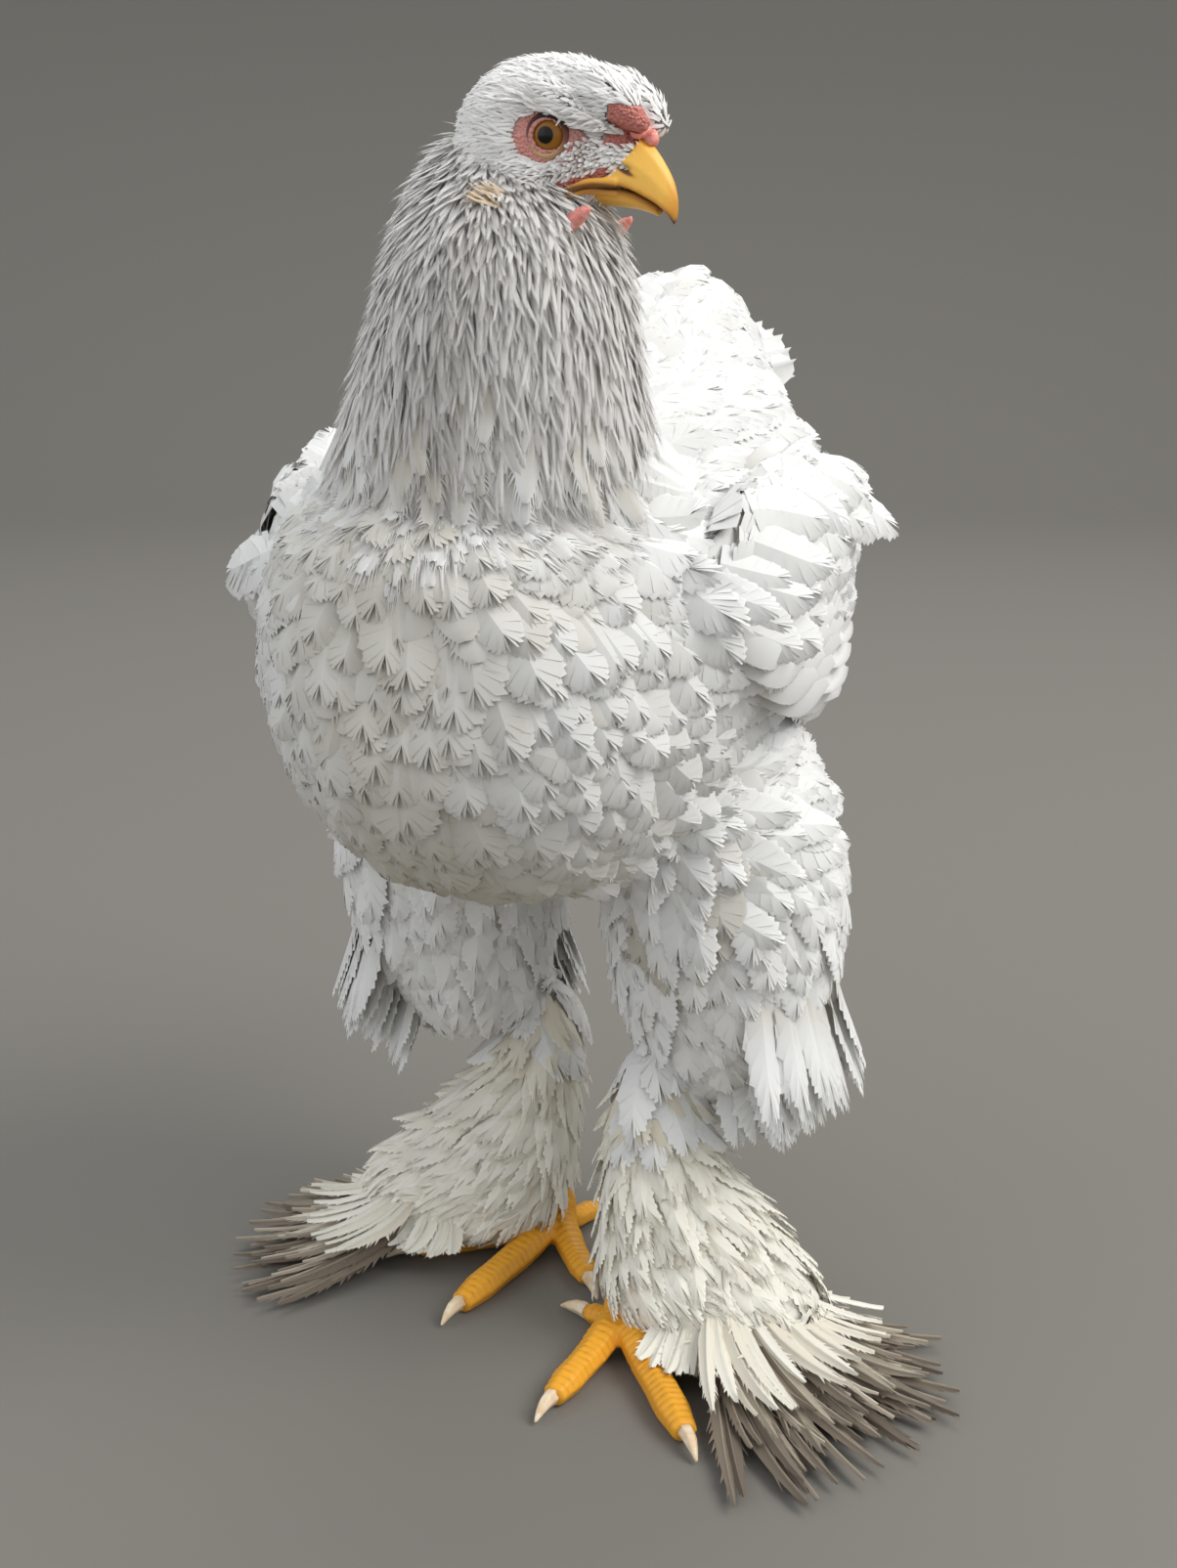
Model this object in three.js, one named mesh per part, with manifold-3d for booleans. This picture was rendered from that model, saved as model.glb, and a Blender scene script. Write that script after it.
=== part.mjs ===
// A young white brahma chicken, life size, standing with one foot ahead and its head turned to its left.
// Millimetres, +Z up. The bird faces -Y and its left side is at +X. Each named mesh is one part of the bird.
import * as THREE from "three";
import { mergeVertices } from "three/addons/utils/BufferGeometryUtils.js";
import Module from "manifold-3d";

const wasm = await Module();
wasm.setup();

// Gaps and counts shared by all parts
const gap = 0.4;
const bodySides = 22;
const limbSides = 12;
const toeSides = 7;
const floorReach = 600;

// Torso: station along the back, then height of underside, widest level and topline, and half width
const torsoRows = [
  [-130, 270, 281, 291, 7],
  [-125, 243, 280, 312, 32],
  [-110, 214, 280, 331, 57],
  [-84, 193, 281, 343, 76],
  [-45, 181, 281, 349, 86],
  [0, 174, 278, 355, 88],
  [45, 168, 276, 370, 84],
  [85, 167, 280, 389, 74],
  [115, 178, 290, 400, 60],
  [140, 204, 304, 396, 43],
  [156, 246, 318, 378, 24],
  [163, 296, 326, 350, 8],
];
const torsoPower = 2.15;

// Neck: height, then centre across and along, and half sizes across and along
const neckRows = [
  [300, 2, -52, 60, 54],
  [322, 4, -60, 60, 54],
  [345, 8, -69, 55, 50],
  [370, 13, -76, 48, 46],
  [395, 17, -80, 43, 42],
  [413, 17, -79, 38, 36],
  [426, 13, -75, 31, 27],
  [437, 8, -70, 20, 19],
  [443, 6, -68, 9, 9],
];

// Head, in its own frame: forward from the eyes, then underside, widest level, top and half width
const headPlace = new THREE.Vector3(38, -74, 440.6);
const headTurn = THREE.MathUtils.degToRad(79);
const headPitch = THREE.MathUtils.degToRad(8);
const headRows = [
  [-36, -20, -6, 6, 9],
  [-32, -26, -6, 12.5, 16.5],
  [-22, -30, -5, 20, 22],
  [-10, -28.5, -4, 22.6, 21.5],
  [0, -25.5, -3, 22.8, 18.4],
  [9, -21.5, -2, 20, 15.4],
  [15, -17.5, -2, 12, 11.6],
  [20, -14, -3, 7, 8],
  [24, -11.5, -4, 2, 4.6],
];
// Forehead feathers stand up on both sides of the comb: forward, aside, up and half size
const foreheadRows = [[-2, 7, 15, 6.5], [8, 7.6, 14.5, 7.6], [17, 7.2, 11.6, 7], [24, 6, 8.6, 4.8], [28.5, 4.8, 5.6, 2.2]];
const headPower = 2.2;
const eyeRadius = 8.2;
const eyeAside = 10.5;
const lidThick = 1.5;
const eyeForwardTurn = THREE.MathUtils.degToRad(13);
const lidReach = 6.2;
const upperBeakRows = [
  [12, -12.6, -11, 2, 9],
  [20, -12.6, -11.2, 4, 8.6],
  [25.5, -13.2, -11.8, 3, 7.6],
  [30, -14.6, -13.2, 0, 6.3],
  [34.5, -16.4, -15, -4.6, 4.8],
  [37.6, -18.8, -16.8, -8.8, 3.2],
  [39.6, -21.4, -19, -13.2, 1.6],
];
const lowerBeakRows = [
  [8, -22, -15.4, -14, 8.4],
  [16, -22.8, -14.6, -13, 7.8],
  [22, -22.4, -14.6, -13, 6.9],
  [27, -21.8, -15.2, -13.8, 5.8],
  [31, -21.6, -16.6, -15.2, 4.4],
  [34, -21.8, -18.2, -16.8, 2.4],
];
// The lips of the beak run back along the cheek to the corner of the mouth: forward, aside, up
const upperLip = [[5, 14.2, -16.6], [10.5, 12.6, -13.6], [16, 10, -11.6], [22, 7.6, -11]];
const lowerLip = [[7, 13.2, -18.4], [11, 11.6, -16.6], [16, 9, -15.6], [22, 6, -15.6]];

// Legs: the ankle is where the toes meet the shank
const legs = {
  left: { sign: 1, ankle: [34, -16], shank: [38, 4], lean: 2, thigh: [56, 18] },
  right: { sign: -1, ankle: [-21, 50], shank: [-33, 62], lean: 18, thigh: [-63, 46] },
};
const ankleHeight = 11;
const leanHeight = 90;
// Thigh: height, then offset of the centre from the thigh's place, outward and back, and half sizes
const thighRows = [
  [240, -10, -6, 34, 46],
  [210, -1, -2, 44, 56],
  [178, 4, 2, 47, 55],
  [152, 4, 6, 45, 50],
  [130, 3, 9, 41, 43],
  [112, 0, 10, 34, 35],
  [100, -4, 9, 25, 26],
  [92, -7, 8, 13, 14],
];
// Shank with its feathers, widening outward into a bell over the foot: rows as for the thigh
const shankRows = [
  [112, 0, 2, 11, 11],
  [98, 1, 2, 17, 18],
  [80, 2, 0, 22, 20],
  [64, 6, -1, 28, 23],
  [50, 13, -2, 35, 26],
  [36, 20, -4, 41, 30],
  [24, 25, -6, 45, 33],
  [14, 28, -7, 45, 33],
  [10, 29, -7, 39, 29],
];
// The skirt of the fan goes round the foot of the bell and holds the long vanes
const skirtRows = [
  [21, 25, -6, 46.5, 34.5],
  [15, 27, -7, 48, 36],
  [9, 29, -7, 47.5, 35.5],
  [4.5, 30, -7, 42, 31],
];

// Toes: name, heading in degrees outward from straight ahead, length to the claw, and root width
const toes = {
  left: [
    ["back", 252, 18, 5.4],
    ["inner", -5, 58, 6.9],
    ["middle", 37, 78, 7.4],
    ["outer", 76, 58, 6.7],
  ],
  right: [
    ["back", 195, 26, 5.6],
    ["inner", -38, 45, 6.6],
    ["middle", 8, 75, 7.4],
    ["outer", 52, 60, 6.7],
  ],
};
const clawLength = 14;

// Feathers of the leg, foot, wing and tail
const tuftFeathers = 7;
const fanRows = [
  { count: 4, from: 34, to: 112, reach: 60, lift: 7, width: 12 },
  { count: 6, from: 24, to: 98, reach: 88, lift: 2.8, width: 11 },
];
const fanLength = { left: 1, right: 0.82 };
const fanCurl = 0.16;
const wingLift = { left: 4, right: 1.5 };
// Each tier: first and last vane's station, height, length, downward slope, width and lift off the flank
const wingTiers = [
  { count: 5, y: [18, 62], z: [262, 302], length: [92, 74], slope: [8, 4], width: 32, lift: 5.4, rise: 2 },
  { count: 4, y: [-30, 40], z: [262, 308], length: [62, 56], slope: [10, 2], width: 34, lift: 7.6, rise: -1 },
];
const tailRows = [
  { count: 6, spread: 26, reach: 82, rise: 17, lift: -2, width: 26, start: 2 },
  { count: 4, spread: 20, reach: 60, rise: 16, lift: 7, width: 27, start: 0 },
];

const group = new THREE.Group();

// Reads a table at a key, smoothly: the first number of each row is its key.
function readTable(rows, key) {
  const rising = rows[1][0] > rows[0][0];
  const last = rows.length - 1;
  let i = 0;
  while (i < last - 1 && (rising ? key > rows[i + 1][0] : key < rows[i + 1][0])) i++;
  const span = rows[i + 1][0] - rows[i][0];
  const f = (key - rows[i][0]) / span;
  const slope = (k, c) => {
    const before = rows[Math.max(k - 1, 0)];
    const after = rows[Math.min(k + 1, last)];
    return ((after[c] - before[c]) / (after[0] - before[0])) * span;
  };
  const f2 = f * f;
  const f3 = f2 * f;
  return rows[i].map((value, c) =>
    c === 0
      ? key
      : (2 * f3 - 3 * f2 + 1) * value +
        (f3 - 2 * f2 + f) * slope(i, c) +
        (3 * f2 - 2 * f3) * rows[i + 1][c] +
        (f3 - f2) * slope(i + 1, c),
  );
}

// The keys at which a table is cut: the rows' own keys with more between them.
function tableKeys(rows, between) {
  const keys = [];
  for (let i = 0; i < rows.length - 1; i++)
    for (let k = 0; k < between; k++) keys.push(rows[i][0] + ((rows[i + 1][0] - rows[i][0]) * k) / between);
  keys.push(rows[rows.length - 1][0]);
  return keys;
}

// A closed solid through rings of equal length, each end closed on a point.
function solidThrough(rings, firstPoint, lastPoint) {
  const sides = rings[0].length;
  const points = [...rings.flat(), firstPoint, lastPoint];
  const faces = [];
  for (let r = 0; r < rings.length - 1; r++)
    for (let s = 0; s < sides; s++) {
      const a = r * sides + s;
      const b = r * sides + ((s + 1) % sides);
      faces.push([a, b, b + sides], [a, b + sides, a + sides]);
    }
  const top = (rings.length - 1) * sides;
  for (let s = 0; s < sides; s++) {
    const next = (s + 1) % sides;
    faces.push([next, s, points.length - 2], [top + s, top + next, points.length - 1]);
  }
  return solidOf(points, faces);
}

// A manifold solid from points and faces, turned to face out.
function solidOf(points, faces) {
  let volume = 0;
  for (const [a, b, c] of faces) volume += points[a].dot(points[b].clone().cross(points[c]));
  const geometry = new THREE.BufferGeometry();
  geometry.setAttribute("position", new THREE.Float32BufferAttribute(points.flatMap((p) => p.toArray()), 3));
  geometry.setIndex(faces.flatMap(([a, b, c]) => (volume > 0 ? [a, b, c] : [a, c, b])));
  return solidOfGeometry(geometry);
}

function solidOfGeometry(geometry) {
  const bare = geometry.clone();
  bare.deleteAttribute("normal");
  bare.deleteAttribute("uv");
  const merged = mergeVertices(bare, 1e-4);
  return new wasm.Manifold(
    new wasm.Mesh({
      numProp: 3,
      vertProperties: new Float32Array(merged.attributes.position.array),
      triVerts: new Uint32Array(merged.index.array),
    }),
  );
}

// An egg-like body cut square to its key axis. Rows hold key, underside, widest level, top and half width.
function ovalBody(rows, { between = 2, sides = bodySides, power = 2, grow = 0, place = (k, across, up) => new THREE.Vector3(across, k, up) }) {
  const ringAt = (key, shift) => {
    const [, low, mid, high, half] = readTable(rows, key);
    return Array.from({ length: sides }, (_, s) => {
      const angle = (2 * Math.PI * s) / sides;
      const c = Math.cos(angle);
      const n = Math.sin(angle);
      const across = Math.sign(c) * Math.abs(c) ** (2 / power) * (half + grow);
      const reach = n > 0 ? high - mid + grow : mid - low + grow;
      return place(key + shift, across, mid + Math.sign(n) * Math.abs(n) ** (2 / power) * reach);
    });
  };
  const keys = tableKeys(rows, between);
  const rings = keys.map((key, i) => ringAt(key, i === 0 ? -grow : i === keys.length - 1 ? grow : 0));
  const endPoint = (row, shift) => place(row[0] + shift, 0, row[2]);
  const first = rows[0];
  const last = rows[rows.length - 1];
  const bulge = 0.25;
  return solidThrough(
    rings,
    endPoint(first, -grow - bulge * first[4]),
    endPoint(last, grow + bulge * last[4]),
  );
}

// A stack of level ovals. Rows hold height, centre across and along, and half sizes across and along.
// A lean carries the foot of the stack forward by that much at the floor and by nothing at leanHeight.
function levelStack(rows, { between = 2, sides = bodySides, grow = 0, place = [0, 0], sign = 1, lean = 0 }) {
  const forward = (z) => lean * Math.max(0, 1 - z / leanHeight) ** 0.8;
  const keys = tableKeys(rows, between);
  const ringAt = (key) => {
    const [z, x, y, a, b] = readTable(rows, key);
    return Array.from({ length: sides }, (_, s) => {
      const angle = (2 * Math.PI * s) / sides;
      return new THREE.Vector3(
        place[0] + sign * x + Math.cos(angle) * (a + grow),
        place[1] + y - forward(z) + Math.sin(angle) * (b + grow),
        z,
      );
    });
  };
  const rings = keys.map(ringAt);
  const endPoint = (row, lift) =>
    new THREE.Vector3(place[0] + sign * row[1], place[1] + row[2] - forward(row[0]), row[0] + lift);
  const up = Math.sign(rows[1][0] - rows[0][0]);
  return solidThrough(
    rings,
    endPoint(rows[0], -up * (2 + grow)),
    endPoint(rows[rows.length - 1], up * (2 + grow)),
  );
}

// A round or oval limb along a path of points, with half sizes given at each point.
function limb(points, wides, deeps, { sides = limbSides, steps = 8, aside = new THREE.Vector3(1, 0, 0), grow = 0 } = {}) {
  const path = new THREE.CatmullRomCurve3(points.map((p) => new THREE.Vector3(...p)));
  const sizeAt = (sizes, t) => readTable(sizes.map((v, i) => [i / (sizes.length - 1), v]), t)[1];
  const rings = [];
  for (let i = 0; i <= steps; i++) {
    const t = i / steps;
    const centre = path.getPoint(t);
    const ahead = path.getTangent(t);
    const across = aside.clone().addScaledVector(ahead, -aside.dot(ahead)).normalize();
    const up = ahead.clone().cross(across);
    rings.push(
      Array.from({ length: sides }, (_, s) => {
        const angle = (2 * Math.PI * s) / sides;
        return centre
          .clone()
          .addScaledVector(across, Math.cos(angle) * (sizeAt(wides, t) + grow))
          .addScaledVector(up, Math.sin(angle) * (sizeAt(deeps, t) + grow));
      }),
    );
  }
  const endPoint = (t, way) =>
    path.getPoint(t).addScaledVector(path.getTangent(t), way * (grow + 0.35 * sizeAt(deeps, t)));
  return solidThrough(rings, endPoint(0, -1), endPoint(1, 1));
}

// A feather vane: a flat, tapered blade along points, facing along the given outward directions.
function vane(points, faces, { width, thick = 1.6, tip = 0.15 }) {
  const count = points.length - 1;
  const shape = [0.45, 0.85, 1, 0.92, 0.62];
  const rings = points.slice(0, count).map((point, i) => {
    const ahead = points[i + 1].clone().sub(points[Math.max(i - 1, 0)]).normalize();
    const out = faces[i].clone().addScaledVector(ahead, -faces[i].dot(ahead)).normalize();
    const across = ahead.clone().cross(out);
    const share = readTable(shape.map((v, k) => [k / (shape.length - 1), v]), i / (count - 1))[1];
    const half = (width / 2) * share;
    const deep = (thick / 2) * (1 - (1 - 0.45) * (i / count));
    const droop = half * 0.22;
    return [
      point.clone().addScaledVector(across, half).addScaledVector(out, -droop),
      point.clone().addScaledVector(out, deep),
      point.clone().addScaledVector(across, -half).addScaledVector(out, -droop),
      point.clone().addScaledVector(out, -deep),
    ];
  });
  const start = points[0].clone().addScaledVector(points[1].clone().sub(points[0]).normalize(), -tip * width);
  return solidThrough(rings, start, points[count]);
}

const join = (solids) => wasm.Manifold.union(solids);

// The largest closed surface of a solid, which drops loose scraps and fills sealed hollows.
function largest(solid) {
  return solid.decompose().reduce((best, piece) => (piece.volume() > best.volume() ? piece : best));
}

function addNode(name, solid, material) {
  const kept = largest(solid);
  const mesh = kept.getMesh();
  const geometry = new THREE.BufferGeometry();
  const positions = new Float32Array(mesh.numVert * 3);
  for (let i = 0; i < mesh.numVert; i++)
    positions.set(mesh.vertProperties.subarray(i * mesh.numProp, i * mesh.numProp + 3), i * 3);
  geometry.setAttribute("position", new THREE.BufferAttribute(positions, 3));
  geometry.setIndex(new THREE.BufferAttribute(mesh.triVerts, 1));
  geometry.computeVertexNormals();
  const made = new THREE.Mesh(geometry, material);
  made.name = name;
  group.add(made);
  return kept;
}

const finish = (color, roughness) => new THREE.MeshStandardMaterial({ color, roughness, metalness: 0 });
const plumage = finish(0xe9e8e0, 0.85);
const greyPlumage = finish(0x9c9183, 0.8);
const redSkin = finish(0xc9453d, 0.55);
const beakHorn = finish(0xeda52c, 0.4);
const toeSkin = finish(0xf0a01c, 0.5);
const clawHorn = finish(0xf0e2c4, 0.4);
const eyeGlass = finish(0x8a5a14, 0.1);

// Torso
const torso = ovalBody(torsoRows, { power: torsoPower });
const torsoRoom = ovalBody(torsoRows, { power: torsoPower, grow: gap });
addNode("torso", torso, plumage);

// The point on the torso's flank at a station and height, raised outward by lift, and the way it faces.
function flank(sign, y, z, lift) {
  const first = torsoRows[1][0];
  const last = torsoRows[torsoRows.length - 2][0];
  const station = THREE.MathUtils.clamp(y, first, last);
  const [, low, mid, high, half] = readTable(torsoRows, station);
  const reach = z > mid ? high - mid : mid - low;
  const level = THREE.MathUtils.clamp((z - mid) / reach, -0.95, 0.95);
  const across = (1 - Math.abs(level) ** torsoPower) ** (1 / torsoPower);
  const wider = readTable(torsoRows, Math.min(station + 4, last))[4];
  const narrower = readTable(torsoRows, Math.max(station - 4, first))[4];
  const rise = (Math.sign(level) * Math.abs(level) ** (torsoPower - 1) * half) / reach;
  const out = new THREE.Vector3(sign * across ** (torsoPower - 1), (narrower - wider) / 8, rise).normalize();
  return { point: new THREE.Vector3(sign * half * across, y, z).addScaledVector(out, lift), out };
}

// Head: its own frame carries forward, left and up to the bird's frame
const headMatrix = new THREE.Matrix4()
  .makeTranslation(headPlace.x, headPlace.y, headPlace.z)
  .multiply(new THREE.Matrix4().makeRotationZ(headTurn - Math.PI / 2))
  .multiply(new THREE.Matrix4().makeRotationY(headPitch));
const inHead = (forward, left, up) => new THREE.Vector3(forward, left, up).applyMatrix4(headMatrix);
const placeInHead = (key, across, up) => inHead(key, across, up);

// An ellipsoid with its middle and half sizes given in the head's frame.
function headBall(middle, halves, { turn = 0, tilt = 0, wide = 12, high = 8 } = {}) {
  const ball = new THREE.SphereGeometry(1, wide, high);
  ball.scale(...halves);
  ball.rotateY(tilt);
  ball.rotateZ(turn);
  ball.translate(...middle);
  ball.applyMatrix4(headMatrix);
  return solidOfGeometry(ball);
}

const headShape = (grow) =>
  ovalBody(headRows, { power: headPower, sides: 16, between: 1, place: placeInHead, grow });
const headBody = headShape(0);
const headRoom = headShape(gap);
const eyeMiddle = (sign) => [0, sign * eyeAside, 0];
const lidBall = (sign, grow) =>
  headBall(eyeMiddle(sign), Array(3).fill(eyeRadius + lidThick + grow), { wide: 14, high: 8 });
// The brow is a ridge that runs from above the eye forward and down
const brow = (sign, grow) =>
  limb(
    [[-9, 13, 11.5], [0, 14, 11.3], [8, 12.4, 8.4], [15, 9, 4]].map(([f, l, u]) => inHead(f, sign * l, u).toArray()),
    [3, 5, 4.4, 2].map((v) => v + grow),
    [3, 4.6, 4, 2].map((v) => v + grow),
    { sides: 8, steps: 4, aside: new THREE.Vector3(0, 0, 1) },
  );
const cheek = (sign, grow) => headBall([-9, sign * 15, -13], [13 + grow, 6.6 + grow, 9 + grow], { tilt: 0.35, wide: 10, high: 6 });
const earPatch = (sign, grow) => headBall([-23, sign * 20, -13], [5 + grow, 4 + grow, 5 + grow], { wide: 8, high: 6 });
const forehead = (sign, grow) =>
  limb(
    foreheadRows.map(([f, l, u]) => inHead(f, sign * l, u).toArray()),
    foreheadRows.map((row) => row[3] + grow),
    foreheadRows.map((row) => row[3] + grow),
    { sides: 8, steps: 3, aside: new THREE.Vector3(0, 0, 1) },
  );
const headExtras = (grow) =>
  [1, -1].flatMap((sign) => [
    lidBall(sign, grow),
    brow(sign, grow),
    cheek(sign, grow),
    earPatch(sign, grow),
    forehead(sign, grow),
  ]);
const headFull = join([headBody, ...headExtras(0)]);
const headFullRoom = join([headRoom, ...headExtras(gap)]);

let head = headFull;
for (const [side, sign] of [["left", 1], ["right", -1]]) {
  const eyeTurn = -sign * eyeForwardTurn;
  const opening = headBall(
    [4.4, sign * (eyeAside + 15), 0],
    [lidReach, 13, lidReach * 0.86],
    { turn: eyeTurn, wide: 14, high: 8 },
  );
  head = head.subtract(headBall(eyeMiddle(sign), Array(3).fill(eyeRadius + gap), { wide: 14, high: 9 }));
  head = head.subtract(opening);
  const eye = headBall(eyeMiddle(sign), Array(3).fill(eyeRadius), { wide: 14, high: 9 });
  addNode("eye_" + side, eye, eyeGlass);
  // The line of the mouth runs back from the beak to its corner under the eye
  const mouth = limb(
    [[2, 13.4, -17.2], [8, 12.6, -15.6], [14, 9.6, -13.6], [21, 6, -12.8]].map(([f, l, u]) =>
      inHead(f, sign * l, u).toArray(),
    ),
    [2, 2.4, 2.6, 3],
    [0.6, 0.7, 0.7, 0.6],
    { sides: 8, steps: 4, aside: new THREE.Vector3(0, 1, 0) },
  );
  head = head.subtract(mouth);
}

// Beak: the nostril slits lie under a fold near its root
const upperBeak = ovalBody(upperBeakRows, { power: 1.8, sides: 12, place: placeInHead });
const upperRoom = ovalBody(upperBeakRows, { power: 1.8, sides: 12, place: placeInHead, grow: gap });
const lowerBeak = ovalBody(lowerBeakRows, { power: 2, sides: 10, between: 1, place: placeInHead });
const nostrils = [1, -1].map((sign) => headBall([24, sign * 7, -6.6], [3, 1.5, 0.8], { tilt: 0.25, wide: 8, high: 5 }));
const lips = (rows, grow) =>
  [1, -1].map((sign) =>
    limb(
      rows.map(([f, l, u]) => inHead(f, sign * l, u).toArray()),
      [1, 1.5, 1.8, 1.8].map((v) => v + grow),
      [1, 1.5, 1.8, 1.8].map((v) => v + grow),
      { sides: 6, steps: 2, aside: new THREE.Vector3(0, 0, 1) },
    ),
  );
const upperFull = join([upperBeak, ...lips(upperLip, 0)]);
const upperFullRoom = join([upperRoom, ...lips(upperLip, gap)]);
addNode("beak_upper", upperFull.subtract(headFullRoom).subtract(join(nostrils)), beakHorn);
const lowerFull = join([lowerBeak, ...lips(lowerLip, 0)]);
addNode("beak_lower", lowerFull.subtract(headFullRoom).subtract(upperFullRoom), beakHorn);

// Comb: three low rows of small knobs over the root of the beak
const knobs = [];
for (const [aside, count] of [[0, 5], [3.5, 4], [-3.5, 4]])
  for (let i = 0; i < count; i++) {
    const f = 15 + i * 3.2;
    const u = 9.4 - 0.028 * (f - 12) ** 2 - (aside ? 0.8 : 0);
    knobs.push(headBall([f, aside, u], [2.7, 2.5, aside ? 2.6 : 3.6], { wide: 6, high: 4 }));
  }
const comb = join(knobs).subtract(headFullRoom).subtract(upperFullRoom);
addNode("comb", comb, redSkin);

const lowerRoom = join([
  ovalBody(lowerBeakRows, { power: 2, sides: 10, between: 1, place: placeInHead, grow: gap }),
  ...lips(lowerLip, gap),
  ...lips(upperLip, gap),
]);
const wattleShape = (sign, grow) =>
  headBall([9.5, sign * 9.6, -22.5], [3.6 + grow, 2.4 + grow, 6 + grow], { tilt: -0.2, wide: 10, high: 6 });
for (const [side, sign] of [["left", 1], ["right", -1]])
  addNode("wattle_" + side, wattleShape(sign, 0).subtract(headFullRoom).subtract(lowerRoom), redSkin);
const throatRoom = join([headFullRoom, lowerRoom, wattleShape(1, gap), wattleShape(-1, gap)]);
addNode("head", head, plumage);

// Neck
const neck = levelStack(neckRows, { sides: 18, between: 1 });
const neckRoom = levelStack(neckRows, { sides: 18, between: 1, grow: gap });
addNode("neck", neck.subtract(torsoRoom).subtract(throatRoom), plumage);

// Legs
const rooms = {};
for (const [side, leg] of Object.entries(legs)) {
  const { sign } = leg;
  const thighShape = (grow) => levelStack(thighRows, { sides: 14, between: 1, place: leg.thigh, sign, grow });
  // Long stiff feathers stand out behind and below the hock
  const tuft = [];
  const tuftRoom = [];
  for (let i = 0; i < tuftFeathers; i++) {
    const way = THREE.MathUtils.degToRad(-50 + (190 * i) / (tuftFeathers - 1));
    const out = new THREE.Vector3(sign * Math.cos(way), Math.sin(way), 0);
    const [, x, y, a, b] = readTable(thighRows, 128);
    const start = new THREE.Vector3(
      leg.thigh[0] + sign * x + out.x * (a - 5),
      leg.thigh[1] + y + out.y * (b - 5),
      130 + 4 * (i % 2),
    );
    const points = Array.from({ length: 5 }, (_, k) =>
      start.clone().addScaledVector(out, 2.3 * k - 0.2 * k * k).add(new THREE.Vector3(0, 0.6 * k, -13.2 * k)),
    );
    const faces = points.map(() => out.clone().add(new THREE.Vector3(0, 0, 0.1)).normalize());
    tuft.push(vane(points, faces, { width: 28, thick: 2 }));
    tuftRoom.push(vane(points, faces, { width: 28 + 2 * gap, thick: 2 + 2 * gap }));
  }
  const thigh = join([thighShape(0), ...tuft]).subtract(torsoRoom);
  addNode("thigh_" + side, thigh, plumage);
  rooms[side] = { thigh: join([thighShape(gap), ...tuftRoom]) };

  // Foot: toes meet at the ankle, flat where they rest
  const ankle = new THREE.Vector3(leg.ankle[0], leg.ankle[1], ankleHeight);
  const toeLimbs = (grow) =>
    toes[side].map(([, heading, length, size]) => {
      const angle = THREE.MathUtils.degToRad(heading) * sign;
      const ahead = new THREE.Vector3(Math.sin(angle), -Math.cos(angle), 0);
      const at = (share, z) => [ankle.x + ahead.x * length * share, ankle.y + ahead.y * length * share, z];
      const wides = [1.05, 0.98, 1.02, 0.88, 0.94, 0.66].map((v) => v * size);
      const deeps = [0.95, 0.84, 0.9, 0.78, 0.84, 0.58].map((v) => v * size);
      return limb(
        [at(0, ankleHeight - 1), at(0.22, size + 1.4), at(0.45, size * 0.8), at(0.72, size * 0.72), at(1, size * 0.6)],
        wides,
        deeps,
        { sides: toeSides, steps: 6, aside: new THREE.Vector3(-ahead.y, ahead.x, 0), grow },
      );
    });
  const column = (grow) =>
    limb(
      [[ankle.x, ankle.y, 8], [ankle.x, ankle.y + 1.5, 18], [ankle.x + sign * 0.5, ankle.y + 4, 30]],
      [8.6, 7.4, 6.6],
      [8.8, 8, 7.4],
      { sides: toeSides, steps: 4, aside: new THREE.Vector3(1, 0, 0), grow },
    );
  const below = new THREE.BoxGeometry(floorReach, floorReach, 40);
  below.translate(0, 0, -20);
  const foot = join([...toeLimbs(0), column(0)]).subtract(solidOfGeometry(below));
  const footRoom = join([...toeLimbs(gap), column(gap)]);
  addNode("foot_" + side, foot, toeSkin);

  const clawRooms = [];
  for (const [name, heading, length, size] of toes[side]) {
    const angle = THREE.MathUtils.degToRad(heading) * sign;
    const ahead = new THREE.Vector3(Math.sin(angle), -Math.cos(angle), 0);
    const at = (reach, z) => [ankle.x + ahead.x * (length + reach), ankle.y + ahead.y * (length + reach), z];
    const clawShape = (grow) =>
      limb(
        [at(-1, size * 0.66), at(4, size * 0.78), at(9, size * 0.62), at(clawLength, 1.6)],
        [3.1, 2.9, 2.1, 0.6],
        [3.4, 3.1, 2.2, 0.6],
        { sides: 6, steps: 4, aside: new THREE.Vector3(-ahead.y, ahead.x, 0), grow },
      );
    clawRooms.push(clawShape(gap));
    addNode("claw_" + side + "_" + name, clawShape(0).subtract(footRoom), clawHorn);
  }

  // Shank, opened for the toes and closed off from the thigh
  const shankShape = (grow) => levelStack(shankRows, { sides: 14, between: 1, place: leg.shank, sign, lean: leg.lean, grow });
  const shank = shankShape(0).subtract(rooms[side].thigh).subtract(footRoom);
  addNode("shank_" + side, shank, plumage);
  rooms[side].shank = shankShape(gap);

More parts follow.
